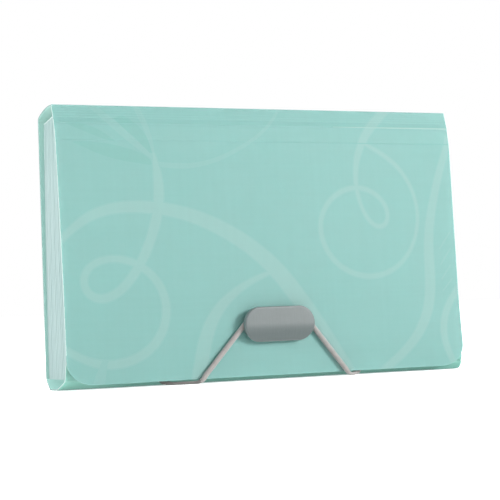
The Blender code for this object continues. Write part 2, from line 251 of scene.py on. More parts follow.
def sheet_material(name, colour, rough=0.57, mottle=0.02, grain=0.5, streak=0.5,
                   glow=1.0, through=None):
    """Extruded polypropylene sheet: matte grain, faint drawn lines, clouding."""
    g = Nodes(name)
    cloud = g.noise((1.0, 1.0, 1.0), 2.6, 4.0, 0.55)
    lines = g.noise((1.3, 46.0, 1.0), 1.0, 3.0, 0.6)
    columns = g.noise((34.0, 1.1, 1.0), 1.0, 2.0, 0.55)
    fine = g.noise((1.0, 1.0, 1.0), 150.0, 2.0, 0.6)
    base = g.ramp(cloud, [(0.30, shade(colour, 1 - mottle)),
                          (0.52, colour), (0.74, shade(colour, 1 + mottle))])
    tone = g.ramp(g.sum(lines, columns, 0.5, 0.5),
                  [(0.36, (0.972, 0.976, 0.976)), (0.64, (1.0, 1.0, 1.0))])
    g.link(g.mix(1.0, base, tone, "MULTIPLY"), g.bsdf.inputs["Base Color"])
    g.link(g.range(g.sum(fine, cloud, 0.5, 0.5), rough - 0.07, rough + 0.09,
                   0.3, 0.7), g.bsdf.inputs["Roughness"])
    height = g.sum(fine, lines, grain, streak)
    g.link(g.bump(height, 0.35, 0.00006), g.bsdf.inputs["Normal"])
    g.bsdf.inputs["Specular IOR Level"].default_value = 0.32
    cloudy(g, glow)
    shine(g, through)
    return g.mat


def edge_material(name, colour):
    """Cut edge of the cloudy sheet with fine knife marks; the colour given is painted light: pale
    for light leaking out of the edge, darker where the edge lies in shade.
    """
    g = Nodes(name)
    marks = g.noise((120.0, 120.0, 1.0), 1.0, 2.0, 0.6)
    g.link(g.ramp(marks, [(0.3, shade(colour, 0.93)), (0.7, colour)]),
           g.bsdf.inputs["Base Color"])
    g.link(g.range(marks, 0.28, 0.42, 0.3, 0.7), g.bsdf.inputs["Roughness"])
    g.link(g.bump(marks, 0.3, 0.00004), g.bsdf.inputs["Normal"])
    return g.mat


def film_material(name, low, high, rough, through=None):
    """Thin cloudy film: pale, with drawn lines along its length."""
    g = Nodes(name)
    cloud = g.noise((1.0, 1.0, 1.0), 5.0, 3.0, 0.5)
    drawn = g.noise((60.0, 1.2, 1.0), 1.0, 3.0, 0.6)
    fine = g.noise((1.0, 1.0, 1.0), 220.0, 2.0, 0.6)
    g.link(g.ramp(g.sum(cloud, drawn, 0.5, 0.5), [(0.34, low), (0.66, high)]),
           g.bsdf.inputs["Base Color"])
    g.link(g.range(fine, rough - 0.06, rough + 0.08, 0.3, 0.7),
           g.bsdf.inputs["Roughness"])
    g.link(g.bump(g.sum(drawn, fine, 0.7, 0.3), 0.4, 0.00008),
           g.bsdf.inputs["Normal"])
    shine(g, through)
    return g.mat


def button_material(name, low, high):
    """Satin moulded plastic, brushed by handling."""
    g = Nodes(name)
    cloud = g.noise((30.0, 30.0, 30.0), 1.0, 3.0, 0.5, uv=False)
    brush = g.noise((2600.0, 200.0, 120.0), 1.0, 3.0, 0.65, uv=False)
    fine = g.noise((2500.0, 2500.0, 2500.0), 1.0, 2.0, 0.6, uv=False)
    scuff = g.noise((260.0, 900.0, 1400.0), 1.0, 4.0, 0.7, uv=False)
    base = g.ramp(cloud, [(0.3, low), (0.7, high)])
    marks = g.ramp(brush, [(0.40, (0.92, 0.92, 0.92)),
                           (0.60, (1.03, 1.03, 1.03))])
    g.link(g.mix(1.0, base, marks, "MULTIPLY"), g.bsdf.inputs["Base Color"])
    g.link(g.range(scuff, 0.46, 0.54, 0.35, 0.65),
           g.bsdf.inputs["Roughness"])
    g.link(g.bump(g.sum(brush, fine, 0.6, 0.4), 0.32, 0.00005),
           g.bsdf.inputs["Normal"])
    g.bsdf.inputs["Specular IOR Level"].default_value = 0.7
    return g.mat


def cord_material(name, low, high):
    """Braided yarn: the strands are modelled, this adds their fibres."""
    g = Nodes(name)
    fibre = g.noise((60.0, 900.0, 1.0), 1.0, 3.0, 0.6)
    tone = g.noise((1.0, 9.0, 1.0), 3.0, 2.0, 0.5)
    base = g.ramp(g.sum(fibre, tone, 0.6, 0.4),
                  [(0.33, low), (0.67, high)])
    g.link(base, g.bsdf.inputs["Base Color"])
    g.link(g.range(fibre, 0.72, 0.92, 0.3, 0.7), g.bsdf.inputs["Roughness"])
    g.link(g.bump(fibre, 0.5, 0.0001), g.bsdf.inputs["Normal"])
    g.bsdf.inputs["Sheen Weight"].default_value = 0.25
    g.bsdf.inputs["Sheen Roughness"].default_value = 0.5
    return g.mat


def crimp_material():
    g = Nodes("crimp_metal")
    brush = g.noise((300.0, 3000.0, 3000.0), 1.0, 3.0, 0.6, uv=False)
    g.link(g.ramp(brush, [(0.3, (0.50, 0.49, 0.47)), (0.7, (0.66, 0.65, 0.62))]),
           g.bsdf.inputs["Base Color"])
    g.link(g.range(brush, 0.28, 0.48, 0.3, 0.7), g.bsdf.inputs["Roughness"])
    g.link(g.bump(brush, 0.3, 0.00004), g.bsdf.inputs["Normal"])
    g.bsdf.inputs["Metallic"].default_value = 1.0
    return g.mat


MINT = (0.126, 0.262, 0.244)


def tint(r, g, b):
    return (MINT[0] * r, MINT[1] * g, MINT[2] * b)


COVER = sheet_material("cover_sheet", MINT)
PRINT = sheet_material("cover_print", tint(1.22, 1.055, 1.06), 0.58, 0.02)
PRINT_SOFT = sheet_material("cover_print_soft", tint(1.10, 1.025, 1.03), 0.575, 0.02)
# darker tone of the leaf-shaped patches, also used as painted shade along the groove of line 2
DARK_TONE_AND_SHADE = sheet_material("cover_dark_tone_and_groove_shade", tint(0.91, 0.975, 0.96), 0.57, 0.02)
# paler tone used as a painted highlight on the bead of line 1
BEAD_HIGHLIGHT = sheet_material("cover_bead_highlight", tint(1.42, 1.12, 1.10), 0.57, 0.02)
# cut edges: a pale painted highlight, and a darker copy as painted shade for edges away from the
# light
EDGE = edge_material("cover_edge", (0.40, 0.51, 0.49))
EDGE_SHADED = edge_material("cover_edge_shaded", (0.15, 0.27, 0.25))
# bellows film: the left one has a painted glow, stronger up to 112 mm and fading towards the top;
# the right one is a darker copy as painted shade with a faint glow; the rim, on the films' top
# edges, is paler with a painted glow
FILM = film_material("bellows_film", (0.30, 0.40, 0.395), (0.34, 0.435, 0.43), 0.45,
                     through=("Y", 112.0, 149.0, (0.085, 0.115, 0.112),
                              (0.020, 0.060, 0.052)))
FILM_RIGHT_SHADED = film_material("bellows_film_right", (0.25, 0.36, 0.35),
                           (0.29, 0.395, 0.385), 0.50, through=(0.02, 0.035, 0.032))
FILM_RIM_GLOW = film_material("bellows_rim_glow", (0.46, 0.55, 0.54), (0.52, 0.60, 0.59), 0.45,
                         through=(0.16, 0.19, 0.185))
LEAF = film_material("divider_film", (0.30, 0.47, 0.45), (0.37, 0.53, 0.51), 0.45)
BUTTON = button_material("button_satin", (0.044, 0.059, 0.059), (0.049, 0.065, 0.065))
# the cap's side wall: a lighter copy of the cap's plastic, as a painted highlight where the side
# light falls
BUTTON_WALL_LIT = button_material("button_wall_lit", (0.100, 0.130, 0.130), (0.112, 0.143, 0.143))
CORD = cord_material("elastic_yarn", (0.165, 0.152, 0.146), (0.245, 0.228, 0.220))
CORD_SHADE = cord_material("elastic_yarn_shade", (0.070, 0.066, 0.062),
                           (0.110, 0.104, 0.098))
CRIMP = crimp_material()


# ---------------------------------------------------------------- mesh makers
def make_object(name, verts, faces, mats, face_mat=None, uvs=None, angle=30.0,
                smooth=True):
    """A mesh object; verts in mm, one uv pair for each vertex."""
    me = bpy.data.meshes.new(name)
    co = np.asarray(verts, float) * MM
    me.from_pydata(co.tolist(), [], [tuple(int(i) for i in f) for f in faces])
    for m in mats:
        me.materials.append(m)
    if face_mat is not None:
        me.polygons.foreach_set("material_index", np.asarray(face_mat, np.int32))
    if uvs is not None:
        layer = me.uv_layers.new(name="flat")
        loops = np.zeros(len(me.loops), np.int32)
        me.loops.foreach_get("vertex_index", loops)
        layer.data.foreach_set(
            "uv", (np.asarray(uvs, float)[loops]).astype(np.float32).ravel())
    if smooth:
        me.shade_smooth()
        me.set_sharp_from_angle(angle=math.radians(angle))
    me.update()
    ob = bpy.data.objects.new(name, me)
    bpy.context.scene.collection.objects.link(ob)
    return ob


def rotate(v, a):
    c, s = math.cos(a), math.sin(a)
    return np.array((v[0] * c - v[1] * s, v[0] * s + v[1] * c))


class Path:
    """A line in (y, z) with rounded corners; outward is to its right."""

    def __init__(self, points, radii):
        pts = [np.array(p, float) for p in points]
        out, tan, mid = [], [], {}
        for i, p in enumerate(pts):
            if i in (0, len(pts) - 1):
                d = pts[1] - p if i == 0 else p - pts[-2]
                out.append(p)
                tan.append(d / np.linalg.norm(d))
                continue
            a = (p - pts[i - 1]) / np.linalg.norm(p - pts[i - 1])
            b = (pts[i + 1] - p) / np.linalg.norm(pts[i + 1] - p)
            turn = math.atan2(a[0] * b[1] - a[1] * b[0], a @ b)
            r = radii[i]
            if r <= 0 or abs(turn) < 1e-5:
                out.append(p)
                t = a + b
                tan.append(t / np.linalg.norm(t))
                mid[i] = len(out) - 1
                continue
            start = p - a * r * math.tan(abs(turn) / 2)
            centre = start + np.array((-a[1], a[0])) * math.copysign(r, turn)
            m = 2 * max(3, int(abs(math.degrees(turn)) / 8))
            for j in range(m + 1):
                g = turn * j / m
                out.append(centre + rotate(start - centre, g))
                tan.append(rotate(a, g))
            mid[i] = len(out) - 1 - m // 2
        self.p = np.array(out)
        self.t = np.array(tan)
        step = np.linalg.norm(np.diff(self.p, axis=0), axis=1)
        self.s = np.concatenate(([0.0], np.cumsum(step)))
        self.mid = {i: self.s[j] for i, j in mid.items()}
        self.length = self.s[-1]

    def at(self, s):
        s = np.asarray(s, float)
        p = np.stack([np.interp(s, self.s, self.p[:, c]) for c in (0, 1)], -1)
        t = np.stack([np.interp(s, self.s, self.t[:, c]) for c in (0, 1)], -1)
        t /= np.linalg.norm(t, axis=-1, keepdims=True)
        return p, np.stack([t[..., 1], -t[..., 0]], -1)

    def nearest(self, y, z):
        s = np.linspace(0, self.length, 200001)
        p, _ = self.at(s)
        return float(s[np.argmin((p[:, 0] - y) ** 2 + (p[:, 1] - z) ** 2)])


def smooth_line(points, step):
    """Centripetal curve through the points, about `step` apart."""
    pts = [np.array(p, float) for p in points]
    ext = [2 * pts[0] - pts[1]] + pts + [2 * pts[-1] - pts[-2]]
    out = []
    for i in range(len(pts) - 1):
        a, b, c, d = ext[i:i + 4]
        t = [0.0]
        for u, v in ((a, b), (b, c), (c, d)):
            t.append(t[-1] + max(float(np.linalg.norm(v - u)), 1e-6) ** 0.5)
        m = max(1, int(round(float(np.linalg.norm(c - b)) / step)))
        for j in range(m):
            w = t[1] + (t[2] - t[1]) * j / m
            p = a + (b - a) * (w - t[0]) / (t[1] - t[0])
            q = b + (c - b) * (w - t[1]) / (t[2] - t[1])
            r = c + (d - c) * (w - t[2]) / (t[3] - t[2])
            e = p + (q - p) * (w - t[0]) / (t[2] - t[0])
            f = q + (r - q) * (w - t[1]) / (t[3] - t[1])
            out.append(e + (f - e) * (w - t[1]) / (t[2] - t[1]))
    out.append(pts[-1])
    return np.array(out)


def inside(px, poly):
    """Which points lie in the closed polygon."""
    x, y = px[:, 0], px[:, 1]
    res = np.zeros(len(px), bool)
    q = np.asarray(poly, float)
    for a, b in zip(q, np.roll(q, -1, axis=0)):
        cross = (a[1] > y) != (b[1] > y)
        if abs(b[1] - a[1]) > 1e-12:
            xi = a[0] + (y - a[1]) * (b[0] - a[0]) / (b[1] - a[1])
            res ^= cross & (x < xi)
    return res


class Ribbon:
    """A curved band on the flat sheet: its width varies, its rim is soft."""

    RIM = 0.45

    def __init__(self, points, tone, rim_tone):
        line = smooth_line(np.array(points, float), 1.6)
        for _ in range(3):          # evens out small kinks
            k = 4
            ends = np.concatenate([2 * line[:1] - line[k:0:-1], line,
                                   2 * line[-1:] - line[-2:-k - 2:-1]])
            line = np.stack([np.convolve(ends[:, c], np.ones(2 * k + 1)
                                         / (2 * k + 1), "valid")
                             for c in range(3)], -1)
        self.c = line[:, :2]
        self.w = line[:, 2] / 2
        self.tone, self.rim_tone = tone, rim_tone
        d = np.gradient(self.c, axis=0)
        d /= np.linalg.norm(d, axis=1, keepdims=True)
        self.n = np.stack([-d[:, 1], d[:, 0]], -1)

    def loops(self):
        out = []
        for extra in (self.RIM, -self.RIM) if self.rim_tone else (0.0,):
            w = np.maximum(self.w + extra, 0.15)[:, None] * self.n
            out.append(np.concatenate([self.c + w, (self.c - w)[::-1]]))
        return out

    def paint(self, p, tone):
        """Give the points their tone by their distance from the middle."""
        best = np.full(len(p), -1e9)
        for i in range(len(self.c) - 1):
            a, b = self.c[i], self.c[i + 1]
            d = b - a
            t = np.clip(((p - a) @ d) / (d @ d), 0, 1)
            dist = np.linalg.norm(p - (a + t[:, None] * d), axis=1)
            best = np.maximum(best, self.w[i] + (self.w[i + 1] - self.w[i]) * t - dist)
        if self.rim_tone:
            rim = (best > -self.RIM) & (tone != self.tone)
            tone[rim] = self.rim_tone
            tone[best > self.RIM] = self.tone
        else:
            tone[best > 0] = self.tone


class Blade:
    """A leaf-shaped patch of another tone, given by its outline."""

    def __init__(self, points, tone):
        closed = list(points) + [points[0]]
        self.poly = smooth_line(closed, 2.0)[:-1]
        self.tone = tone

    def loops(self):
        return [self.poly]

    def paint(self, p, tone):
        tone[inside(p, self.poly)] = self.tone


def build_sheet(name, path, s0, s1, *, mats, half=HALF, lines=(), cell=8.0,
                outline=None, holes=(), print_=(), dip=None, thick=None,
                bow=None, seams=(False, False), chamfer=0.10, smooth_angle=33.0,
                lit=None, beyond=None):
    """A bent sheet cut from the flat layout.

    mats: outer face, print tones..., inner face, cut edge.
    seams: whether the s0 and s1 ends run on into another piece.
    lit: material slot of the inner face up to a given s, as (s, slot).
    beyond: the outer face has slot 1 beyond this s.
    """
    def box(d):
        a = s0 + (0 if seams[0] else d)
        b = s1 - (0 if seams[1] else d)
        return [(-half + d, a), (half - d, a), (half - d, b), (-half + d, b)]

    outline = outline or box
    points, edges = [], []

    def add_line(pts, closed, step=None):
        pts = [tuple(map(float, p)) for p in pts]
        if closed:
            pts.append(pts[0])
        first = len(points)
        chain = []
        for a, b in zip(pts[:-1], pts[1:]):
            d = math.dist(a, b)
            m = max(1, int(math.ceil(d / step - 1e-6))) if step else 1
            for j in range(m):
                chain.append((a[0] + (b[0] - a[0]) * j / m,
                              a[1] + (b[1] - a[1]) * j / m))
        if not closed:
            chain.append(pts[-1])
        points.extend(chain)
        n = len(chain)
        for i in range(n - 1):
            edges.append((first + i, first + i + 1))
        if closed:
            edges.append((first + n - 1, first))

    rim = outline(0.0)
    add_line(rim, True, cell)
    add_line(outline(0.13), True, cell)
    for cx, cs, r in holes:
        for rr in (r, r + 0.13):
            add_line([(cx + rr * math.cos(2 * math.pi * i / 40),
                       cs + rr * math.sin(2 * math.pi * i / 40))
                      for i in range(40)], True)
    for s in lines:
        if s0 < s < s1:
            xs = np.arange(-math.floor(half / cell) * cell, half, cell)
            pts = [(-half, s)] + [(x, s) for x in xs if abs(x) < half - 1] + [(half, s)]
            add_line(pts, False)
    for p in print_:
        for loop in p.loops():
            add_line(loop, True)
    for x in np.arange(-math.floor(half / cell) * cell, half, cell):
        for s in np.arange(s0 + cell / 2, s1, cell):
            if abs(x) < half - 1:
                points.append((x, s))

    verts, _, tris, *_ = delaunay_2d_cdt([Vector(p) for p in points], edges,
                                         [], 0, 1e-4)
    v = np.array([(p.x, p.y) for p in verts])
    t = np.array([f for f in tris if len(f) == 3], int)
    c = v[t].mean(axis=1)
    area = np.abs(np.cross(v[t[:, 1]] - v[t[:, 0]], v[t[:, 2]] - v[t[:, 0]])) / 2
    keep = inside(c, rim) & (area > 1e-7)
    for cx, cs, r in holes:
        keep &= np.hypot(c[:, 0] - cx, c[:, 1] - cs) > r * 0.999
    t, c = t[keep], c[keep]
    flip = np.cross(v[t[:, 1]] - v[t[:, 0]], v[t[:, 2]] - v[t[:, 0]]) < 0
    t[flip] = t[flip][:, ::-1]

    # edges used once are the sheet's rim
    seen = {}
    for tri in t:
        for a, b in ((tri[0], tri[1]), (tri[1], tri[2]), (tri[2], tri[0])):
            seen[(a, b)] = seen.get((a, b), 0) + 1
    border = [e for e in seen if (e[1], e[0]) not in seen]
    soft = np.zeros(len(v))
    for a, b in border:
        for i in (a, b):
            at_seam = (seams[0] and abs(v[i][1] - s0) < 1e-3
                       and abs(abs(v[i][0]) - half) > 1e-3) or \
                      (seams[1] and abs(v[i][1] - s1) < 1e-3
                       and abs(abs(v[i][0]) - half) > 1e-3)
            if not at_seam:
                soft[i] = 1.0
    on_rim = set(i for i in range(len(v)) if soft[i] > 0)

    p, n = path.at(v[:, 1])
    lift = np.zeros(len(v)) if bow is None else bow(v[:, 0], v[:, 1])
    top = (np.zeros(len(v)) if dip is None else dip(v[:, 1])) + soft * chamfer
    low = (np.full(len(v), SHEET) if thick is None else thick(v[:, 1])) - soft * chamfer
    base = p + n * lift[:, None]
    outer = np.column_stack([v[:, 0], base - n * top[:, None]])
    inner = np.column_stack([v[:, 0], base - n * low[:, None]])

    tone = np.zeros(len(t), int)
    if beyond is not None:
        tone[c[:, 1] > beyond] = 1
    for q in print_:
        q.paint(c, tone)
    edge_slot, inner_slot = len(mats) - 1, len(mats) - 2
    rim_tri = np.array([sum(i in on_rim for i in tri) >= 2 for tri in t])
    outer_slot = np.where(rim_tri, edge_slot, tone)
    inside_slot = np.full(len(t), inner_slot)
    if lit is not None:
        inside_slot[c[:, 1] < lit[0]] = lit[1]
    inner_slots = np.where(rim_tri, edge_slot, inside_slot)

    m = len(v)
    faces = [tuple(f[::-1]) for f in t] + [tuple(f + m) for f in t]
    slots = list(outer_slot) + list(inner_slots)
    for a, b in border:
        faces.append((a, b, b + m, a + m))
        slots.append(edge_slot)
    uv = np.column_stack([v[:, 0], v[:, 1]]) / 100.0
    ob = make_object(name, np.vstack([outer, inner]), faces, mats, slots,
                     np.vstack([uv, uv + (0.013, 0.007)]), smooth_angle)
    # points left over from trimmed triangles go
    bm = bmesh.new()
    bm.from_mesh(ob.data)
    loose = [x for x in bm.verts if not x.link_faces]
    bmesh.ops.delete(bm, geom=loose, context="VERTS")
    bm.to_mesh(ob.data)
    bm.free()
    return ob


# ------------------------------------------------------------ the cover sheet
ARC_STEPS = 36
arc = []
for i in range(1, ARC_STEPS):
    u = i / ARC_STEPS
    arc.append((Y_BACK + (Y_RIDGE - Y_BACK) * u,
                Z_BACK_TOP + (Z_RIDGE - Z_BACK_TOP) * (1 - (1 - u) ** 2)))
corner = [(y_front(Z_FRONT_TOP), Z_FRONT_TOP), (Y_CREASE, Z_FRONT_BOTTOM),
          (FLAT_FRONT, 0.0), (FLAT_BACK, 0.0), (Y_BACK, Z_BACK_BOTTOM),
          (Y_BACK, Z_BACK_TOP)]
radius = [0, FRONT_CREASE_R, 12.0, 2.5, BACK_CREASE_R, 2.5]
# the soft corner at the back leaves the curved top's first points out
skip = [p for p in arc if math.dist(p, corner[-1]) > 1.7]
points = corner + skip + [(Y_RIDGE, Z_RIDGE), (Y_LINE_1 - 0.18, Z_LINE_1 - 1.7),
                          (Y_LINE_2, Z_LINE_2), (y_flap(Z_FLAP_END), Z_FLAP_END)]
radius = radius + [0] * len(skip) + [0.5, 1.2, 1.2, 0]
COVER_PATH = Path(points, radius)
n_skip = len(skip)
S_C1 = COVER_PATH.mid[1]
S_F1, S_F2 = COVER_PATH.mid[2], COVER_PATH.mid[3]
S_C2, S_C3 = COVER_PATH.mid[4], COVER_PATH.mid[5]
S_RIDGE = COVER_PATH.mid[6 + n_skip]
S_L1 = COVER_PATH.mid[7 + n_skip]
S_L2 = COVER_PATH.mid[8 + n_skip]
S_END = COVER_PATH.length


# inner faces: brighter copies of the sheet's colour with a painted glow, standing in for daylight
# coming through it; the glow is strongest inside the bottom and rises up the back and under the top
GLOW_BACK, GLOW_LID = (0.105, 0.180, 0.160), (0.145, 0.242, 0.208)
INNER = sheet_material("cover_inner", tint(1.29, 1.04, 1.06), 0.55, 0.03, 0.7, 0.3,
                       through=(0.040, 0.075, 0.066))
INNER_BACK = sheet_material("cover_inner_back", tint(1.33, 1.09, 1.09), 0.55, 0.03,
                            0.7, 0.3,
                            through=("Y", S_C3 - 28.0, S_C3 - 1.0, GLOW_BACK, GLOW_LID))
INNER_LID = sheet_material("cover_inner_lid", tint(1.33, 1.09, 1.09), 0.55, 0.03,
                           0.7, 0.3, through=("Y", S_C3, S_RIDGE, GLOW_LID,
                                             (0.255, 0.375, 0.335)))
INNER_FOOT = sheet_material("cover_inner_foot", tint(1.33, 1.09, 1.09), 0.55, 0.03,
                            0.7, 0.3, through=(0.235, 0.400, 0.365))
# outside of the front panel and the bottom's front slope: a slightly darker, greener copy of the
# sheet as painted shade under the flap, with a painted glow strongest at the left end and faint
# from x = -88 mm on
COVER_LOW = sheet_material("cover_sheet_low", tint(0.95, 1.01, 0.95), 0.62, 0.02,
                           through=("X", -112.0, -88.0, (0.085, 0.150, 0.125),
                                    (0.030, 0.060, 0.047)))
COVER_LOW.node_tree.nodes["Principled BSDF"].inputs[
    "Specular IOR Level"].default_value = 0.2


def groove(s, at, half_width, depth):
    """Depth of a V groove (or a bead, if depth is negative)."""
    return depth * np.clip(1 - np.abs(s - at) / half_width, 0, 1)


def bead_lines(at, half_width):
    return [at - half_width, at - half_width / 2, at, at + half_width / 2,
            at + half_width]


FINE = [S_RIDGE + d for d in (1.55, 3.0, 4.45, 5.9, 7.35)]


def dip(s):
    d = groove(s, S_L2, 0.45, 0.14) + groove(s, S_L1 - 0.2, 0.42, -0.07)
    d += groove(s, S_L1 + 0.5, 0.28, 0.045)
    for f in FINE:
        d += groove(s, f, 0.30, 0.05)
    d += groove(s, S_C1, 0.35, 0.08) + groove(s, S_C2, 0.35, 0.08)
    d += groove(s, S_C3 - 1.0, 0.28, 0.07) + groove(s, S_C3 + 1.0, 0.28, 0.07)
    return d


def thick(s):
    """Sheet thickness; the ridge is a thin web, hollowed from inside."""
    d = np.abs(s - S_RIDGE)
    return SHEET - 0.5 * np.clip((1.15 - d) / 0.7, 0, 1)


def spread(a, b, step):
    n = max(1, int(math.ceil((b - a) / step)))
    return [a + (b - a) * i / n for i in range(1, n)]


RIDGE_LINES = [S_RIDGE + d for d in (-1.15, -0.9, -0.65, -0.45, -0.3, -0.15, 0,
                                     0.15, 0.3, 0.45, 0.65, 0.9, 1.15)]
half_c3 = 2.5 * 0.5 * math.radians(60.1)
SEAM_1 = S_C1 + 0.75
SEAM_3 = S_C3 - half_c3 - 0.7
SEAM_R = S_RIDGE - 1.75


def rounded_box(a, b, radius_a, radius_b, half=HALF, seams=(False, False),
                wide=1.0):
    """Outline with rounded corners at s = a and at s = b."""
    def outline(d):
        out = []
        lo = a + (0 if seams[0] else d)
        hi = b - (0 if seams[1] else d)
        w = half - d
        for sx, s, r, start in ((-1, lo, radius_a, math.pi), (1, lo, radius_a, 1.5 * math.pi),
                                (1, hi, radius_b, 0.0), (-1, hi, radius_b, 0.5 * math.pi)):
            if r <= 0:
                out.append((sx * w, s))
                continue
            rr, rx = r - d, r * wide - d
            cx = sx * (w - rx)
            cs = s + rr if s == lo else s - rr
            for i in range(19):
                g = start + math.pi / 2 * i / 18
                out.append((cx + rx * math.cos(g), cs + rr * math.sin(g)))
        return out
    return outline


def at(s):
    p, _ = COVER_PATH.at(s)
    return (0.0, float(p[0]) * MM, float(p[1]) * MM)


# print: broad arcs and loops, as (x, s from the ridge, width)
def band(points, tone=1, rim=2):
    return Ribbon([(x, s + S_RIDGE, w) for x, s, w in points], tone, rim)


def blade(points, tone=3):
    return Blade([(x, s + S_RIDGE) for x, s in points], tone)


